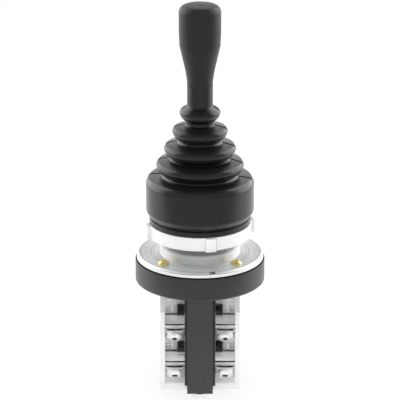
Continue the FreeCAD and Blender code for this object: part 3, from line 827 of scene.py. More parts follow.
def rounded(corners: Iterable[Corner]) -> list[Point]:
    """Replace the corners of a polyline by arcs.

    Args:
        corners: (radius, height, rounding) of each corner in millimetres.

    Returns:
        The points of the rounded line; the first and last corner stay sharp.
    """
    rows = list(corners)
    line: list[Point] = [rows[0][:2]]
    for before, here, after in zip(rows, rows[1:], rows[2:]):
        corner = Vector(here[:2])
        arm_in = Vector(before[:2]) - corner
        arm_out = Vector(after[:2]) - corner
        half = arm_in.angle(arm_out) / 2
        if here[2] <= 0 or half > math.radians(89):
            line.append(here[:2])
            continue
        reach = min(here[2] / math.tan(half), arm_in.length * 0.49, arm_out.length * 0.49)
        radius = reach * math.tan(half)
        start, end = arm_in.normalized() * reach, arm_out.normalized() * reach
        centre = (arm_in.normalized() + arm_out.normalized()).normalized() * (radius / math.sin(half))
        first = math.atan2(*(start - centre).yx)
        turn = (math.atan2(*(end - centre).yx) - first + math.pi) % FULL_TURN - math.pi
        for index in range(ARC_STEPS + 1):
            angle = first + turn * index / ARC_STEPS
            point = corner + centre + Vector((math.cos(angle), math.sin(angle))) * radius
            line.append((point.x, point.y))
    line.append(rows[-1][:2])
    return line


def turned(degrees: float, axis: str = "Z") -> Matrix:
    """Matrix of a turn about an axis."""
    return Matrix.Rotation(math.radians(degrees), 4, axis)


def moved(x: float, y: float, z: float) -> Matrix:
    """Matrix of a step in millimetres."""
    return Matrix.Translation((x * MM, y * MM, z * MM))


@dataclass
class Grip:
    """Moulded knob with its rounded top and tapered foot, in millimetres."""

    bore: float = 3.05
    foot_radius: float = 4.8
    foot: float = 65.22
    foot_step: float = 66.9
    waist_radius: float = 5.45
    waist: float = 71.0
    heel_radius: float = 7.56
    heel: float = 80.3
    radius: float = 7.77
    shoulder: float = 86.0
    dome: float = 95.2
    top: float = 95.7
    cavity: float = 84.6

    def build(self, wardrobe: Wardrobe) -> None:
        """Spin the grip.

        Args:
            wardrobe: the materials.
        """
        outline = rounded([
            (self.bore, self.foot, 0), (self.foot_radius - 0.04, self.foot, 0),
            (self.foot_radius, self.foot + 0.05, 0), (self.foot_radius, self.foot_step, 3.0),
            (self.waist_radius, self.waist, 14.0), (self.heel_radius, self.heel, 1.0),
            (self.radius, self.shoulder, 12.0), (self.radius, self.dome, 2.6),
            (0, self.top, 0), (0, self.cavity, 0), (self.bore, self.cavity, 0),
        ])
        grip = Bench.lathe("knob_grip", outline)
        wardrobe.wear(grip, "knob_plastic")
        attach(grip, "lever")
        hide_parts("knob")
        LOG.info("grip built")


@dataclass
class Bellows:
    """Rubber boot in two pieces that meet on a ring, in millimetres.

    Attributes:
        crests: (radius, height) of each fold's edge, smallest first.
        outside: corners of a fold from its saucer to its root, from the crest: (out, up, rounding).
        inside: the same corners on the inner side of the rubber.
        firm: height up to which the skirt would stay with the body; not used.
        carried: height from which the boot would move with the lever as one piece; not used.
        seam_wall: rubber left at the ring where the two pieces meet, thin so that the shaft clears it.
        seam_gap: how far from that ring each piece would start to bend; not used.
    """

    crests: tuple[Point, ...] = ((7.78, 54.8), (10.46, 47.6), (13.52, 40.9), (16.47, 34.5))
    outside: tuple[Corner, ...] = ((-5.2, 2.75, 0.3), (-4.85, 2.45, 0.4), (-0.8, 1.35, 1.2), (0, 0, 1.4),
                                   (-0.85, -1.95, 0.9), (-2.5, -3.3, 0.4))
    inside: tuple[Corner, ...] = ((-4.9, 0.75, 0.4), (-1.75, 0.55, 0.7), (-1.15, -0.2, 0.6),
                                  (-1.7, -1.4, 0.5), (-3.15, -3.1, 0.3))
    first_rim: Corner = (-0.95, 1.3, 1.3)
    sleeve: float = 4.8
    sleeve_bore: float = 3.05
    top: float = 65.2
    sleeve_foot: float = 57.3
    sleeve_root: float = 57.0
    skirt: float = 20.15
    skirt_bore: float = 18.55
    skirt_roof: float = 30.35
    skirt_foot: float = 17.0
    lip: float = 18.95
    lip_bore: float = 17.3
    base: float = 12.02
    firm: float = 27.0
    carried: float = 49.6
    seam_wall: float = 0.15
    seam_gap: float = 0.05

    def folds(self, which: slice, steps: tuple[Corner, ...]) -> list[Corner]:
        """Corners of some folds, from the top down.

        Args:
            which: the folds that are wanted.
            steps: corners of one fold, from its crest.

        Returns:
            The corners in millimetres, each with its rounding.
        """
        return [(radius + out, height + up, rounding)
                for radius, height in self.crests[which] for out, up, rounding in steps]

    def build(self, wardrobe: Wardrobe) -> None:
        """Spin the upper and the lower piece.

        Args:
            wardrobe: the materials.
        """
        first = self.folds(slice(0, 1), (self.first_rim, *self.outside[3:]))
        outer = first + self.folds(slice(1, 3), self.outside)
        inner = self.folds(slice(0, 1), self.inside[1:]) + self.folds(slice(1, 3), self.inside)
        inner.pop()
        reach, ring, _ = outer.pop()
        seam_out, seam_in = (reach, ring, 0.0), (reach - self.seam_wall, ring, 0.0)
        outer = [(self.sleeve, self.top, 0), (self.sleeve, self.sleeve_foot, 0.5), *outer, seam_out]
        inner = [(self.sleeve_bore, self.top, 0), (self.sleeve_bore, self.sleeve_root, 0.4), *inner,
                 seam_in]
        upper = Bench.lathe("boot_upper", rounded(outer) + rounded(inner)[::-1], smooth_deg=60)
        outer = [
            seam_out, *self.folds(slice(3, 4), self.outside),
            (self.skirt - 6.0, self.skirt_roof + 0.4, 0.3), (self.skirt - 5.6, self.skirt_roof, 0.4),
            (self.skirt - 0.9, self.skirt_roof - 0.55, 1.5),
            (self.skirt, self.skirt_roof - 2.6, 2.3), (self.skirt, self.skirt_foot, 1.4),
            (self.lip + 0.2, 15.2, 0.5), (self.lip - 0.75, 14.75, 0.25), (self.lip - 0.7, 14.3, 0.2),
            (self.lip, 14.0, 0.25), (self.lip, self.base + 0.3, 0.25), (self.lip - 0.3, self.base, 0),
        ]
        inner = [
            seam_in, *self.folds(slice(3, 4), self.inside),
            (self.skirt - 6.85, self.skirt_roof - 1.2, 0.4),
            (self.skirt_bore - 1.2, self.skirt_roof - 1.9, 0.8),
            (self.skirt_bore, self.skirt_roof - 3.8, 1.0), (self.skirt_bore, self.skirt_foot - 0.1, 0.4),
            (self.lip_bore, 15.9, 0.4), (self.lip_bore, self.base, 0),
        ]
        lower = Bench.lathe("boot_lower", rounded(outer) + rounded(inner)[::-1], smooth_deg=60)
        for piece in (upper, lower):
            wardrobe.wear(piece, "boot_rubber")
            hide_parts("boot")
        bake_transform(lower)
        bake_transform(upper)
        LOG.info("boot built")


@dataclass
class MetalWork:
    """Aluminium neck with its flange and thread, and the ring nut, in millimetres.

    Attributes:
        notch_rim: metal left outside the notch in the flange.
        notch_inner: how far in from the flange's edge the notch ends.
        notch_zone: how far in the faces that get painted shade are looked for.
        thread_start: height at which the thread starts, over the flange.
        thread_ridge: height of a ridge over the root.
        nut_edge: rounding of the nut's rims.
        slot_depth: how deep the slit beside the front lug goes into the nut.
        lug_root: how deep a lug sits in the nut.
    """

    bore: float = 12.6
    neck: float = 15.0
    root: float = 14.5
    neck_top: float = 18.0
    flange: float = 23.85
    flange_chamfer: float = 0.75
    rim_width: float = 1.4
    shadow_ring_bore: float = 22.0
    shadow_ring_radius: float = 24.1
    shadow_ring_thick: float = 0.38
    notch_width: float = 2.0
    notch_depth: float = 0.8
    notch_rim: float = 0.3
    notch_inner: float = 1.5
    notch_zone: float = 1.3
    flange_thick: float = 2.3
    pin_hole: float = 1.3
    thread_start: float = 3.3
    thread_pitch: float = 0.75
    thread_ridge: float = 0.32
    thread_turns: float = 4.6
    thread_steps: int = 64
    nut_low: float = 6.9
    nut_high: float = 12.0
    nut_radius: float = 19.3
    nut_bore: float = 14.55
    nut_edge: float = 0.3
    lug_count: int = 4
    lug_width: float = 4.0
    lug_proud: float = 1.3
    lug_root: float = 0.6
    lug_edge: float = 0.25
    slot_width: float = 0.35
    slot_depth: float = 0.9
    key_angle: float = 11.5
    screw_count: int = 4
    screw_circle: float = 19.0
    screw_head: float = 2.1
    screw_sink: float = 0.85
    screw_hole: float = 1.25

    def build(self, wardrobe: Wardrobe) -> None:
        """Build the neck, the black ring of painted shadow under its flange, its thread and the nut.

        Args:
            wardrobe: the materials.
        """
        neck = self.neck_and_flange()
        wardrobe.wear(neck, "aluminium")
        wardrobe.shade(neck, BLASTED_ALUMINIUM, self.on_rim)
        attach(neck, "body")
        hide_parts("neck_housing")
        # Painted shade on the walls and bottom of the notch
        wardrobe.shade(neck, PAINTED_SHADE_METAL, self.in_notch)
        # A dull black ring under the flange: painted shadow where the flange meets the base
        shadow_ring_top = self.shadow_ring_thick - self.flange_thick
        shadow_ring = Bench.lathe("flange_seal", [
            (self.shadow_ring_bore, -self.flange_thick), (self.shadow_ring_radius, -self.flange_thick),
            (self.shadow_ring_radius, shadow_ring_top), (self.shadow_ring_bore, shadow_ring_top)], steps=WIDE_SPIN_STEPS)
        wardrobe.wear(shadow_ring, "boot_rubber", PAINTED_SHADOW_RING)
        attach(shadow_ring, "body")
        thread = self.thread()
        # The thread wears a darker copy of the aluminium: painted shade
        wardrobe.wear(thread, "aluminium", PAINTED_SHADE_THREAD)
        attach(thread, "body")
        nut = self.ring_nut()
        wardrobe.wear(nut, "aluminium", BLASTED_ALUMINIUM)
        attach(nut, "body")
        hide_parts("ring_nut")
        LOG.info("metalwork built")

    def screw_places(self) -> list[Vector]:
        """Where the flange screws stand round the neck.

        Returns:
            Their places in millimetres.
        """
        step = FULL_TURN / self.screw_count
        return [Vector((math.cos(step * place), math.sin(step * place), 0)) * self.screw_circle
                for place in (index + 0.5 for index in range(self.screw_count))]

    def on_rim(self, centre: Vector, normal: Vector) -> bool:
        """Whether a face belongs to the satin outer side of the flange.

        Args:
            centre: the face's centre in millimetres.
            normal: its normal.

        Returns:
            True for such a face.
        """
        return abs(normal.z) < ACROSS and Vector(centre.xy).length > self.flange - self.rim_width

    def in_notch(self, centre: Vector, normal: Vector) -> bool:
        """Whether a face is a wall across the rim or the bottom of the notch.

        Args:
            centre: the face's centre in millimetres.
            normal: its normal.

        Returns:
            True for such a face.
        """
        wall = (centre.z < -0.05 and abs(normal.z) < ACROSS
                and abs(normal.dot(centre.normalized())) < ACROSS)
        bottom = abs(centre.z + self.notch_depth) < 0.02
        return Vector(centre.xy).length > self.flange - self.notch_zone and (wall or bottom)

    def neck_and_flange(self) -> bpy.types.Object:
        """Turned neck with its flange, sunk screw holes, key notch and pin hole.

        Returns:
            The undressed piece.
        """
        seat = self.shadow_ring_thick - self.flange_thick
        body = Bench.lathe("neck_turning", [
            (self.bore, -self.flange_thick), (self.shadow_ring_bore, -self.flange_thick),
            (self.shadow_ring_bore, seat), (self.flange - 0.1, seat), (self.flange, seat + 0.1),
            (self.flange, -self.flange_chamfer), (self.flange - self.flange_chamfer, 0),
            (self.neck + 0.35, 0), (self.neck + 0.1, 0.1), (self.neck, 0.35),
            (self.neck, self.thread_start), (self.root, self.thread_start + 0.4),
            (self.root, self.neck_top), (self.bore, self.neck_top),
        ], steps=WIDE_SPIN_STEPS)
        sink = Bench.lathe("sink", [
            (0, -3), (self.screw_hole, -3), (self.screw_hole, -self.screw_sink),
            (self.screw_head, 0), (self.screw_head, 1), (0, 1),
        ], steps=NARROW_SPIN_STEPS)
        half = self.notch_width / 2
        notch = Bench.slab("notch", (-half, -self.flange + self.notch_rim, -self.notch_depth),
                           (half, -self.flange + self.notch_inner, 1))
        pin = Bench.lathe("pin_bore", [(0, -self.neck - 1), (self.pin_hole, -self.neck - 1),
                                       (self.pin_hole, self.neck + 1), (0, self.neck + 1)],
                          steps=NARROW_SPIN_STEPS)
        Bench.carve(body, *Bench.copies(sink, [moved(*place) for place in self.screw_places()]),
                    *Bench.copies(notch, [turned(self.key_angle)]),
                    *Bench.copies(pin, [moved(0, 0, PIVOT_MM) @ turned(90, "Y")]))
        return Bench.done(body, "neck_turning", smooth_deg=30)

    def thread(self) -> bpy.types.Object:
        """Thread ridges round the neck up to the nut, at the pitch of the lines that show.

        Returns:
            The undressed piece.
        """
        lift = 0.2
        Bench.deselect()
        bpy.ops.mesh.primitive_circle_add(vertices=4, radius=self.thread_ridge * MM,
                                          location=((self.root + lift) * MM, 0,
                                                    (self.thread_start + lift) * MM),
                                          rotation=(math.pi / 2, 0, 0))
        return Bench.wind("neck_thread", bpy.context.active_object, self.thread_steps,
                          int(self.thread_steps * self.thread_turns),
                          self.thread_pitch * MM / self.thread_steps, smooth_deg=20)

    def ring_nut(self) -> bpy.types.Object:
        """Ring nut with rounded rims, four lugs that stand out of its side and a slit beside one.

        Returns:
            The undressed piece.
        """
        low, high, radius, edge = self.nut_low, self.nut_high - 0.02, self.nut_radius, self.nut_edge
        ring = Bench.lathe("ring_nut_turning", [
            (self.nut_bore, low), (radius - edge, low), (radius, low + edge), (radius, high - edge),
            (radius - edge, high), (self.nut_bore, high),
        ], steps=WIDE_SPIN_STEPS)
        half = self.lug_width / 2
        slot = Bench.slab("nut_slot", (half, -radius - 1, low - 1),
                          (half + self.slot_width, -radius + self.slot_depth, high + 1))
        Bench.carve(ring, *Bench.copies(slot, [turned(self.key_angle)]))
        Bench.done(ring, "ring_nut_turning", smooth_deg=30)
        lug = Bench.slab("lug", (-half, -radius - self.lug_proud, low + 0.02),
                         (half, -radius + self.lug_root, high - 0.02), bevel=self.lug_edge)
        turns = [turned(self.key_angle + 360 / self.lug_count * index)
                 for index in range(self.lug_count)]
        return Bench.join("ring_nut_turning", [ring, *Bench.copies(lug, turns)])


@dataclass(frozen=True)
class Screw:
    """One kind of screw with a cross recess, in millimetres.

    Attributes:
        name: name of the screw.
        slot: record slot that it takes its finish from.
        head: head radius.
        height: head height, or the depth of a sunk head's cone.
        shank: shank radius.
        length: shank length.
        sunk: True for a raised countersunk head.
        dome: how far a sunk head stands up.
        arm_share: reach of the recess from the middle, as a share of the head's radius.
        blade_share: half of a blade's width, the same way.
        depth_share: depth of the recess, as a share of the head's height.
        sunk_depth: depth of the recess in a sunk head.
        steps: spin steps in a full turn.
    """

    name: str
    slot: str
    head: float
    height: float
    shank: float
    length: float
    sunk: bool = False
    dome: float = 1.4
    arm_share: float = 0.36
    blade_share: float = 0.05
    depth_share: float = 0.3
    sunk_depth: float = 0.45
    steps: int = 40

    def outline(self) -> list[Point]:
        """Half section of the screw, the underside of its head at zero, or its flat for a sunk one.

        Returns:
            (radius, height) points in millimetres.
        """
        head, height, shank, dome = self.head, self.height, self.shank, self.dome
        if self.sunk:
            return [(0, -self.length), (shank - 0.25, -self.length), (shank, -self.length + 0.3),
                    (shank, -height), (head - 0.05, -0.12), (head - 0.05, 0.25),
                    (head * 0.85, dome * 0.6), (head * 0.55, dome * 0.9), (0, dome)]
        return rounded([
            (0, -self.length, 0), (shank - 0.25, -self.length, 0), (shank, -self.length + 0.3, 0),
            (shank, 0, 0), (head - 0.12, 0, 0.1), (head, 0.2, 0.2), (head, height * 0.62, height * 0.5),
            (head * 0.62, height * 0.98, head), (0, height, 0),
        ])

    def build(self, wardrobe: Wardrobe) -> bpy.types.Object:
        """Spin the screw along +Z and cut its recess.

        Args:
            wardrobe: the materials.

        Returns:
            The dressed screw, the recess of a pan head in painted shade.
        """
        top = self.dome if self.sunk else self.height
        depth = self.sunk_depth if self.sunk else self.height * self.depth_share
        arm = self.head * self.arm_share
        screw = Bench.lathe(self.name, self.outline(), steps=self.steps)
        Bench.carve(screw, self.recess(arm, self.head * self.blade_share, top - depth, top + 1))
        Bench.done(screw, self.name, smooth_deg=40)
        wardrobe.wear(screw, self.slot)
        # Painted shade in the recess of a pan head
        if not self.sunk:
            wardrobe.shade(screw, PAINTED_SHADE_METAL, lambda centre, normal: Vector(centre.xy).length < arm
                           and abs(centre.z - top + depth) < 0.05)
        return screw

    @staticmethod
    def recess(arm: float, blade: float, low: float, high: float) -> bpy.types.Object:
        """Cutter of a cross recess: a square core with its four sides drawn out.

        Args:
            arm: reach of each blade from the middle.
            blade: half of a blade's width.
            low: bottom of the recess.
            high: top of the cutter.

        Returns:
            The closed cutter.
        """
        core = Bench.slab("recess", (-blade, -blade, low), (blade, blade, high))
        for way in (Vector((1, 0, 0)), Vector((-1, 0, 0)), Vector((0, 1, 0)), Vector((0, -1, 0))):
            Bench.select_faces(core, lambda centre, normal: normal.dot(way) > ALONG
                               and centre.dot(way) > blade * 0.9)
            bpy.ops.mesh.extrude_region_move(
                TRANSFORM_OT_translate={"value": tuple(way * (arm - blade) * MM)})
            bpy.ops.object.mode_set(mode="OBJECT")
        Bench.edit(core)
        Bench.face_out()
        return Bench.done(core, "recess")


@dataclass
class Fixings:
    """The flange screws and the two bottom screws, in millimetres.

    Attributes:
        first_turn: turn of the first flange screw's recess, in radians.
        turn_step: how much further the next one was driven.
    """

    first_turn: float = 0.6
    turn_step: float = 1.1
    flange_length: float = 8.0
    pan_radius: float = 3.1
    pan_height: float = 2.0
    pan_shank: float = 1.7

    def build(self, wardrobe: Wardrobe, metal: MetalWork) -> None:
        """Place the flange screws and the two bottom screws.

        Args:
            wardrobe: the materials.
            metal: the flange that the brass screws sit in.
        """
        screw = Screw("flange_screw", "brass", metal.screw_head, metal.screw_sink, metal.screw_hole,
                      self.flange_length, sunk=True).build(wardrobe)
        brass = Bench.join("flange_screw_set", Bench.copies(screw, [
            moved(*place) @ Matrix.Rotation(self.first_turn + self.turn_step * index, 4, "Z")
            for index, place in enumerate(metal.screw_places())]))
        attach(brass, "body")
        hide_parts("flange_screws")
        low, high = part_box("bottom_screw")
        screw = Screw("bottom_screw_head", "steel", self.pan_radius, self.pan_height, self.pan_shank,
                      (high.z - low.z) / MM - self.pan_height).build(wardrobe)
        reach = high.y / MM - self.pan_radius
        under = low.z / MM + self.pan_height
        bottom = Bench.join("bottom_screw_pan", Bench.copies(screw, [
            moved(0, side * reach, under) @ turned(180, "X") for side in (-1, 1)]))
        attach(bottom, "body")
        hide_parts("bottom_screw")
        LOG.info("fixings built")


@dataclass
class ContactBlocks:
    """Clear blocks and what shows in them: clamps, screws, strips and springs, in millimetres.

    Attributes:
        tilt_deg: how far a clamp screw leans down from level.
        reach: how far a clamp stands out from the middle of its block.
        drop: how far it lies under the block's top.
        column: distance of a column of blocks from the middle.
        clamp_cuts: cuts across each side of a clamp, so that it can bow.
        clamp_raised: half of the width that is raised.
        clamp_reach: how far the bow runs out beside that.
        screw_lift: how far a screw's head stands off its clamp's foot.
        first_turn: turn of the recess of a screw, in radians, before its column and level add theirs.
        column_turn: what the column adds.
        shelf_drop: how far a shelf lies under the block's top.
        spring_top: how far a plunger spring's upper end does.
        black_wall: distance up to which the clear walls lie on the black spine.
        shade_end: distance up to which the tower's inner front stands in the spine's shade.
        boss_round: most that a normal on a boss's round side points along the boss.
        wall_span: inner and outer side of a shelf.
        tower_front: front of the tower that stands on the shelf.
        front: front of the block.
        line: width of the painted shade line along a shelf's front edge.
        plate_rise: top of the bare plate's edge, over the shelf.
        line_rise: top of the painted shade line at the tower's foot.
        pushers: the body that each block's plunger rides on; not used.
    """

    tilt_deg: float = 37.0
    reach: float = 9.9
    drop: float = 10.0
    column: float = 9.5
    clamp_side: float = 6.0
    clamp_thick: float = 0.75
    clamp_bow: float = 0.16
    clamp_edge: float = 0.14
    clamp_cuts: int = 7
    clamp_raised: float = 1.2
    clamp_reach: float = 1.6
    screw_lift: float = 0.9
    first_turn: float = 0.4
    column_turn: float = 0.7
    screw: Screw = Screw("terminal_screw", "steel", 2.85, 2.0, 1.4, 3.0)
    spring_foot: float = 1.6
    spring_tip: float = 1.15
    spring_wire: float = 0.4
    spring_turns: int = 4
    shelf_drop: float = 5.3
    spring_top: float = 2.6
    black_wall: float = 5.75
    boss_end: float = 8.3
    boss_offset: float = 6.0
    boss_radius: float = 2.6
    boss_drop: float = 2.7
    boss_foot: float = 0.9
    boss_round: float = 0.3
    shade_end: float = 8.6
    wall_span: tuple[float, float] = (5.75, 13.15)
    tower_front: float = 3.6
    front: float = 14.0
    line: float = 1.4
    plate_rise: float = 0.1
    line_rise: float = 0.65
    clear_edges: dict[str, float] = field(default_factory=lambda: {
        "riser": 0.18, "cover": 0.2, "housing": 0.15})
    strip_edge: float = 0.08
    pushers: dict[str, str] = field(default_factory=lambda: {
        "right_upper": "pusher_right", "left_upper": "pusher_left",
        "right_lower": "pusher_front", "left_lower": "pusher_back"})

    def top(self, level: Level) -> float:
        """Height of a block's top in millimetres."""
        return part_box(f"housing_right_{level.value}")[1].z / MM

    def terminal(self, side: Side, level: Level, back: bool) -> Matrix:
        """Placement of one clamp: local +Z points out along its screw.

        Args:
            side: column of the block.
            level: level of the block.
            back: True for the terminal on the far side.

        Returns:
            The matrix from the clamp's own axes to the frame.
        """
        local = moved(0, -self.reach, -self.drop) @ turned(90 + self.tilt_deg, "X")
        middle = moved(side.value * self.column, 0, self.top(level))
        return middle @ turned(180 if back else 0) @ local

    def clamp(self) -> bpy.types.Object:
        """Square clamp plate, bowed over its screw.

        Returns:
            The undressed plate.
        """
        half = self.clamp_side / 2
        plate = Bench.slab("clamp", (-half, -half, 0), (half, half, self.clamp_thick))
        Bench.edit(plate)
        bpy.ops.mesh.subdivide(number_cuts=self.clamp_cuts)
        bpy.ops.object.mode_set(mode="OBJECT")
        Bench.select_faces(plate, lambda centre, normal: abs(centre.x) < self.clamp_raised)
        bpy.ops.transform.translate(value=(0, 0, self.clamp_bow * MM), use_proportional_edit=True,
                                    proportional_edit_falloff="SMOOTH",
                                    proportional_size=self.clamp_reach * MM)
        Bench.done(plate, "clamp", smooth_deg=25)
        return Bench.apply(plate, "BEVEL", width=self.clamp_edge * MM, segments=2,
                           limit_method="ANGLE", angle_limit=math.radians(50))

    def shade_edges(self, clamps: bpy.types.Object, wardrobe: Wardrobe) -> None:
        """Paint shade on the clamps' edges, the faces across the clamp's plane.

        Args:
            clamps: the clamps of a block.
            wardrobe: the materials.
        """
        slope = math.radians(90 + self.tilt_deg)

        def across(centre: Vector, normal: Vector) -> bool:
            """Whether a face lies across the plane of its clamp.

            Args:
                centre: the face's centre in millimetres.
                normal: its normal.

            Returns:
                True for such a face.
            """
            way = -1 if centre.y < 0 else 1
            return abs(normal.dot(Vector((0, way * math.sin(slope), math.cos(slope))))) < ACROSS

        # The clamps' edges get painted shade
        wardrobe.shade(clamps, PAINTED_SHADE_METAL, across)

    def coil(self, name: str, base: float, tip: float, low: float, high: float, wire: float,
             turns: int) -> bpy.types.Object:
        """Wind a conical spring of round wire about Z.

        Args:
            name: name of the spring.
            base: centre-line radius at the foot.
            tip: centre-line radius at the top.
            low: lowest point.
            high: highest point.
            wire: wire diameter.
            turns: number of turns.

        Returns:
            The wound spring with closed ends.
        """
        steps = 16
        count = steps * turns
        Bench.deselect()
        bpy.ops.mesh.primitive_circle_add(vertices=8, radius=wire / 2 * MM, fill_type="NGON",
                                          location=(base * MM, 0, (low + wire / 2) * MM),
                                          rotation=(math.pi / 2, 0, 0))
        return Bench.wind(name, bpy.context.active_object, steps, count,
                          (high - low - wire) / count * MM, narrow=(tip / base) ** (1 / count),
                          smooth_deg=60)

    def build(self, wardrobe: Wardrobe) -> None:
        """Dress all four blocks.

        Args:
            wardrobe: the materials.
        """
        clamp = self.clamp()
        screw = self.screw.build(wardrobe)
        spring = self.coil("plunger_coil", self.spring_foot, self.spring_tip, -self.shelf_drop,
                           -self.spring_top, self.spring_wire, self.spring_turns)
        for side in Side:
            for level in Level:
                key = f"{side.name.lower()}_{level.value}"
                middle, top = side.value * self.column, self.top(level)
                seats = [self.terminal(side, level, back) for back in (False, True)]
                clamps = Bench.join(f"clamps_{key}", Bench.copies(clamp, seats, keep=True))
                wardrobe.wear(clamps, "steel")
                self.shade_edges(clamps, wardrobe)
                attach(clamps, "body")
                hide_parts(f"clamp_washers_{key}")
                turn = self.first_turn + side.value * self.column_turn + top
                turns = [Matrix.Rotation(turn + place, 4, "Z") for place in (0, 1)]
                screws = Bench.join(f"screws_{key}", Bench.copies(screw, [
                    seat @ moved(0, 0, self.screw_lift) @ twist for seat, twist in zip(seats, turns)],
                    keep=True))
                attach(screws, "body")
                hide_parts(f"terminal_screws_{key}")
                coil = Bench.copy(spring, f"coil_{key}", moved(middle, 0, top))
                wardrobe.wear(coil, "steel")
                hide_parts(f"plunger_spring_{key}")
                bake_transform(coil)
                LOG.info("block %s dressed", key)
        Bench.remove(clamp, screw, spring)
        self.refine(wardrobe)

    def darken(self, piece: bpy.types.Object, wardrobe: Wardrobe) -> None:
        """Paint the walls and bosses that lie on the black spine nearly black, a painted view of the
        spine through them.

        Args:
            piece: housing or riser.
            wardrobe: the materials.
        """
        sign = -1 if "left" in piece.name else 1
        Bench.split(piece, "X", sign * self.black_wall)
        # Painted shade: the walls over the black spine, painted nearly black
        wardrobe.shade(piece, PAINTED_DARK_CLEAR, lambda centre, normal: abs(centre.x) < self.black_wall)
        if piece.name.startswith("housing"):
            self.mark_shelf(piece, wardrobe, sign)

    def mark_shelf(self, piece: bpy.types.Object, wardrobe: Wardrobe, sign: int) -> None:
        """Frosted plate on each shelf, with painted shade lines along the clear edges round it, and
        painted shade on the bosses and beside the spine.

        Args:
            piece: a housing.
            wardrobe: the materials.
            sign: side of the spine that it is on.
        """
        level = Level.UPPER if "upper" in piece.name else Level.LOWER
        boss = self.top(level) - self.boss_drop
        shelf = boss + self.boss_drop - self.shelf_drop
        near, far = self.wall_span
        edge = self.front - self.line
        Bench.split(piece, "X", sign * self.shade_end, sign * far)
        Bench.split(piece, "Z", shelf + self.plate_rise, shelf + self.line_rise)
        Bench.split(piece, "Y", -edge, edge)

        def on_boss(centre: Vector, normal: Vector) -> bool:
            """Whether a face belongs to the round side of a boss.

            Args:
                centre: the face's centre in millimetres.
                normal: its normal.

            Returns:
                True for such a face.
            """
            return (abs(centre.x) < self.boss_end and abs(normal.x) < self.boss_round
                    and abs(abs(centre.y) - self.boss_offset) < self.boss_radius
                    and boss - self.boss_foot < centre.z < boss + self.boss_radius)

        def on_shelf(centre: Vector, normal: Vector, inner: float, outer: float) -> bool:
            """Whether a face lies on the shelf, between two distances from the middle.

            Args:
                centre: the face's centre in millimetres.
                normal: its normal.
                inner: the nearer distance.
                outer: the farther one.

            Returns:
                True for such a face.
            """
            return (near < abs(centre.x) < far and inner < abs(centre.y) < outer
                    and normal.z > ALONG and abs(centre.z - shelf) < TOUCH_MM)

        def on_tower(centre: Vector, normal: Vector, low: float, high: float = math.inf) -> bool:
            """Whether a face belongs to the tower's front, between two heights over the shelf.

            Args:
                centre: the face's centre in millimetres.
                normal: its normal.
                low: the lower height.
                high: the upper one.

            Returns:
                True for such a face.
            """
            return (near < abs(centre.x) < far and low < centre.z - shelf < high
                    and abs(abs(centre.y) - self.tower_front) < TOUCH_MM
                    and normal.y * centre.y > ALONG * abs(centre.y))

        def on_plate(centre: Vector, normal: Vector) -> bool:
            """Whether a face belongs to the frosted plate.

            Args:
                centre: the face's centre in millimetres.
                normal: its normal.

            Returns:
                True for such a face.
            """
            return (on_shelf(centre, normal, self.tower_front, edge)
                    or on_tower(centre, normal, 0, self.plate_rise))

        def on_dark(centre: Vector, normal: Vector) -> bool:
            """Whether a face gets painted shade: the black behind it, the shade beside the spine or one
            of the painted shade lines.

            Args:
                centre: the face's centre in millimetres.
                normal: its normal.

            Returns:
                True for such a face.
            """
            return (on_boss(centre, normal) or on_shelf(centre, normal, edge, self.front)
                    or on_shelf(centre, normal, -1, self.tower_front)
                    or on_tower(centre, normal, self.plate_rise, self.line_rise)
                    or abs(centre.x) < self.shade_end and on_tower(centre, normal, self.line_rise))

        wardrobe.shade(piece, FROSTED_PLATE, on_plate)
        wardrobe.shade(piece, FROSTED_WALL, lambda centre, normal: abs(centre.x) > far
                       and abs(normal.y) > ALONG and abs(centre.y) > edge)
        # Painted shade: the bosses, the shade beside the spine and the dark lines along the shelf
        wardrobe.shade(piece, PAINTED_DARK_CLEAR, on_dark)

    def refine(self, wardrobe: Wardrobe) -> None:
        """Round the edges of the moulded and stamped pieces.

        Args:
            wardrobe: the materials.
        """
        jobs: list[tuple[str, float, str]] = []
        for side in ("left", "right"):
            jobs += [(f"{kind}_{side}", self.clear_edges[kind], "clear_plastic")
                     for kind in ("riser", "cover")]
            for level in ("upper", "lower"):
                jobs += [(f"housing_{side}_{level}", self.clear_edges["housing"], "clear_plastic"),
                         (f"terminal_plates_{side}_{level}", self.strip_edge, "tinned_plate")]
        for node, bevel, slot in jobs:
            piece = Bench.refined(node, f"{node}_fine", bevel)
            wardrobe.wear(piece, slot)
            if node.startswith(("housing", "riser")):
                self.darken(piece, wardrobe)
            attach(piece, "body")
            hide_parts(node)
        LOG.info("clear blocks refined")


@dataclass
class CentringSpring:
    """Conical spring under the boot, in two halves that meet on the gimbal, in millimetres.

    Attributes:
        wire: wire diameter.
        seat: height of the lowest turn's middle.
        middle: height at which the halves meet.
        top: height of the highest turn's middle.
        turns: turns of each half.
        firm_share: how far past its ends a half would stay unbent, as a share of the wire; not used.
    """

    wire: float = 1.1
    seat: float = 19.75
    middle: float = 23.1
    top: float = 26.45
    seat_radius: float = 8.6
    waist_radius: float = 8.1
    top_radius: float = 5.2
    turns: int = 2
    firm_share: float = 0.55

    def build(self, wardrobe: Wardrobe, blocks: ContactBlocks) -> None:
        """Wind both halves: the foot rests on the body.

        Args:
            wardrobe: the materials.
            blocks: the blocks, whose springs are wound the same way.
        """
        rows = (
            ("centring_coil_low", self.seat_radius, self.waist_radius, self.seat, self.middle,
             "body", "gimbal"),
            ("centring_coil_high", self.waist_radius, self.top_radius, self.middle, self.top,
             "gimbal", "lever"),
        )
        for name, foot, tip, low, high, under, over in rows:
            half = blocks.coil(name, foot, tip, low - self.wire / 2, high + self.wire / 2, self.wire,
                               self.turns)
            wardrobe.wear(half, "steel")
            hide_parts("return_spring")
            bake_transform(half)
        LOG.info("centring spring wound")


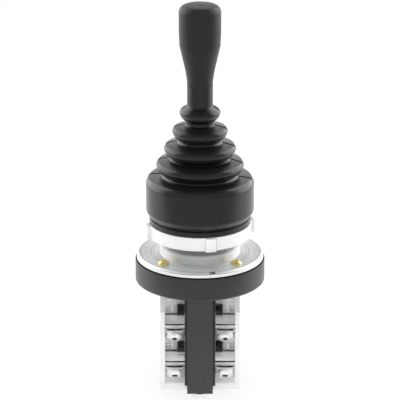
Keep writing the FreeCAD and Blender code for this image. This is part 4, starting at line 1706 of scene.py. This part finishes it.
@dataclass
class BaseMoulding:
    """Black base with its spine, and the cross pins through it, in millimetres."""

    base_edge: float = 0.25
    base_steps: int = 3
    pin_edge: float = 0.15

    def build(self, wardrobe: Wardrobe) -> None:
        """Round the edges of the moulding and of the pins.

        Args:
            wardrobe: the materials.
        """
        base = Bench.refined("base", "base_moulding", self.base_edge, segments=self.base_steps)
        wardrobe.wear(base, "black_plastic")
        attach(base, "body")
        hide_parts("base")
        pins = Bench.refined("cross_pins", "cross_pins_fine", self.pin_edge)
        wardrobe.wear(pins, "steel")
        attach(pins, "body")
        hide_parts("cross_pins")
        LOG.info("base built")


@dataclass
class Studio:
    """Pale floor, plain world, soft lamps and the camera at the photograph's angle.

    Attributes:
        camera_place: where the camera stands, in metres.
        pitch_deg: how far it looks down.
        lens_mm: its focal length.
        floor_colour: sRGB hex of the floor as the lamps light it.
        floor_shine: share of the floor's own white that the camera and reflections see.
        floor_gap: how far the floor lies under the switch, in millimetres.
        floor_fade: from where to where, along Y, its reflection turns from dull to bright.
        floor_levels: how bright that reflection is in front and behind.
        front_fade: from where to where, along Y, the tent turns from its front to plain white.
        front_level: white of the tent on the operator's side.
        ceiling_fade: from which height to which the tent turns into its ceiling.
        ceiling_level: white of its ceiling, behind the lamps.
        aim: what the lamps point at, in metres.
    """

    camera_place: Corner = (0.0, -0.850, 0.318)
    pitch_deg: float = 19.3
    lens_mm: float = 216.9
    floor_colour: str = "#E9E9E9"
    floor_shine: float = 0.85
    floor_gap: float = 0.05
    floor_fade: Point = (-0.12, 0.02)
    floor_levels: Point = (0.34, 1.15)
    front_fade: Point = (-0.3, 0.45)
    front_level: float = 0.36
    ceiling_fade: Point = (0.58, 0.72)
    ceiling_level: float = 0.1
    aim: Corner = (0, 0, 0.02)

    def build(self) -> None:
        """Set the whole stage."""
        self.floor()
        self.world()
        self.lamps()
        self.camera()
        bpy.context.scene.view_settings.view_transform = "Standard"
        LOG.info("studio set")

    def floor(self) -> None:
        """Large pale floor under the switch, white to the camera but for the shadow on it."""
        Bench.deselect()
        bpy.ops.mesh.primitive_plane_add(size=6.0, location=(0, 0, CAD_BOX[0].z - self.floor_gap * MM))
        floor = bpy.context.active_object
        floor.name = "floor"
        material = bpy.data.materials.new("Pale studio floor")
        material.use_nodes = True
        tree = material.node_tree
        tree.nodes.clear()
        seen = add_node(tree, "LightPath")
        plain = add_node(tree, "Math", operation="MAXIMUM", links={
            0: seen.outputs["Is Camera Ray"], 1: seen.outputs["Is Transmission Ray"]})
        share = add_node(tree, "Math", operation="MAXIMUM", links={
            0: seen.outputs["Is Glossy Ray"], 1: plain.outputs[0]})
        part = add_node(tree, "Math", operation="MULTIPLY", links={0: share.outputs[0]},
                        values={1: self.floor_shine})
        place = add_node(tree, "TexCoord").outputs["Object"]
        parts = add_node(tree, "SeparateXYZ", links={"Vector": place})
        near = add_node(tree, "MapRange", interpolation_type="SMOOTHSTEP",
                        links={"Value": parts.outputs["Y"]},
                        values={"From Min": self.floor_fade[0], "From Max": self.floor_fade[1],
                                "To Min": self.floor_levels[0], "To Max": self.floor_levels[1]})
        level = add_node(tree, "Mix", data_type="FLOAT",
                         links={0: plain.outputs[0], MIX_NUMBER_A: near.outputs["Result"]},
                         values={MIX_NUMBER_B: 1.0})
        matt = add_node(tree, "BsdfDiffuse", values={"Color": linear(self.floor_colour)})
        white = add_node(tree, "Emission", values={"Color": linear("#FFFFFF")},
                         links={"Strength": level.outputs[0]})
        mix = add_node(tree, "MixShader", links={
            0: part.outputs[0], 1: matt.outputs["BSDF"], 2: white.outputs["Emission"]})
        add_node(tree, "OutputMaterial", links={"Surface": mix.outputs["Shader"]})
        floor.data.materials.append(material)

    def world(self) -> None:
        """White behind the switch, darker on the operator's side, as the photograph's tent was."""
        world = bpy.data.worlds.new("tent")
        bpy.context.scene.world = world
        world.use_nodes = True
        tree = world.node_tree
        tree.nodes.clear()
        heading = add_node(tree, "TexCoord").outputs["Generated"]
        parts = add_node(tree, "SeparateXYZ", links={"Vector": heading})
        front = add_node(tree, "MapRange", interpolation_type="SMOOTHSTEP",
                         links={"Value": parts.outputs["Y"]},
                         values={"From Min": self.front_fade[0], "From Max": self.front_fade[1],
                                 "To Min": self.front_level, "To Max": 1.0})
        ceiling = add_node(tree, "MapRange", interpolation_type="SMOOTHSTEP",
                           links={"Value": parts.outputs["Z"]},
                           values={"From Min": self.ceiling_fade[0],
                                   "From Max": self.ceiling_fade[1]})
        shell = add_node(tree, "Mix", data_type="FLOAT",
                         links={0: ceiling.outputs["Result"], MIX_NUMBER_A: front.outputs["Result"]},
                         values={MIX_NUMBER_B: self.ceiling_level})
        seen = add_node(tree, "LightPath")
        through = add_node(tree, "Math", operation="MAXIMUM", links={
            0: seen.outputs["Is Camera Ray"], 1: seen.outputs["Is Transmission Ray"]})
        level = add_node(tree, "Mix", data_type="FLOAT",
                         links={0: through.outputs[0], MIX_NUMBER_A: shell.outputs[0]},
                         values={MIX_NUMBER_B: 1.0})
        sky = add_node(tree, "Background", values={"Color": (1, 1, 1, 1)},
                       links={"Strength": level.outputs[0]})
        add_node(tree, "OutputWorld", links={"Surface": sky.outputs["Background"]})

    def lamps(self) -> None:
        """One tall soft lamp at each side, one from above and a low fill from the front."""
        rows = (
            ("left_soft", (-0.7, 0.4, 0.30), 6.0, (1.0, 1.3), True),
            ("right_soft", (0.7, 0.4, 0.30), 7.0, (1.0, 1.3), True),
            ("top_soft", (0.0, -0.25, 0.9), 8.0, (0.7, 0.5), False),
            ("front_fill", (0.0, -0.75, 0.2), 2.9, (0.7, 0.3), False),
        )
        for name, place, watts, size, mirrored in rows:
            lamp = bpy.data.lights.new(name, "AREA")
            lamp.shape = "RECTANGLE"
            lamp.size, lamp.size_y = size
            lamp.energy = watts
            holder = bpy.data.objects.new(name, lamp)
            bpy.context.scene.collection.objects.link(holder)
            holder.location = place
            holder.visible_glossy = mirrored
            way = Vector(self.aim) - Vector(place)
            holder.rotation_euler = way.to_track_quat("-Z", "Y").to_euler()

    def camera(self) -> None:
        """Camera fitted to the discs and edges of the photograph."""
        lens = bpy.data.cameras.new("camera")
        lens.sensor_width = 36.0
        lens.lens = self.lens_mm
        lens.clip_start, lens.clip_end = 0.05, 20.0
        holder = bpy.data.objects.new("camera", lens)
        bpy.context.scene.collection.objects.link(holder)
        holder.location = self.camera_place
        holder.rotation_euler = Euler((math.radians(90 - self.pitch_deg), 0, 0))
        bpy.context.scene.camera = holder


def write_sizes() -> None:
    """Log the end of the build; no box is kept."""
    LOG.info("sizes written")


def main() -> None:
    """Build every sub-assembly and the studio."""
    logging.basicConfig(level=logging.INFO, format="%(name)s: %(message)s")
    wardrobe = Wardrobe()
    wardrobe.dress_frame(frame["record"])
    Grip().build(wardrobe)
    Bellows().build(wardrobe)
    metal = MetalWork()
    metal.build(wardrobe)
    Fixings().build(wardrobe, metal)
    blocks = ContactBlocks()
    blocks.build(wardrobe)
    CentringSpring().build(wardrobe, blocks)
    BaseMoulding().build(wardrobe)
    Studio().build()
    write_sizes()


if __name__ == "__main__":
    main()
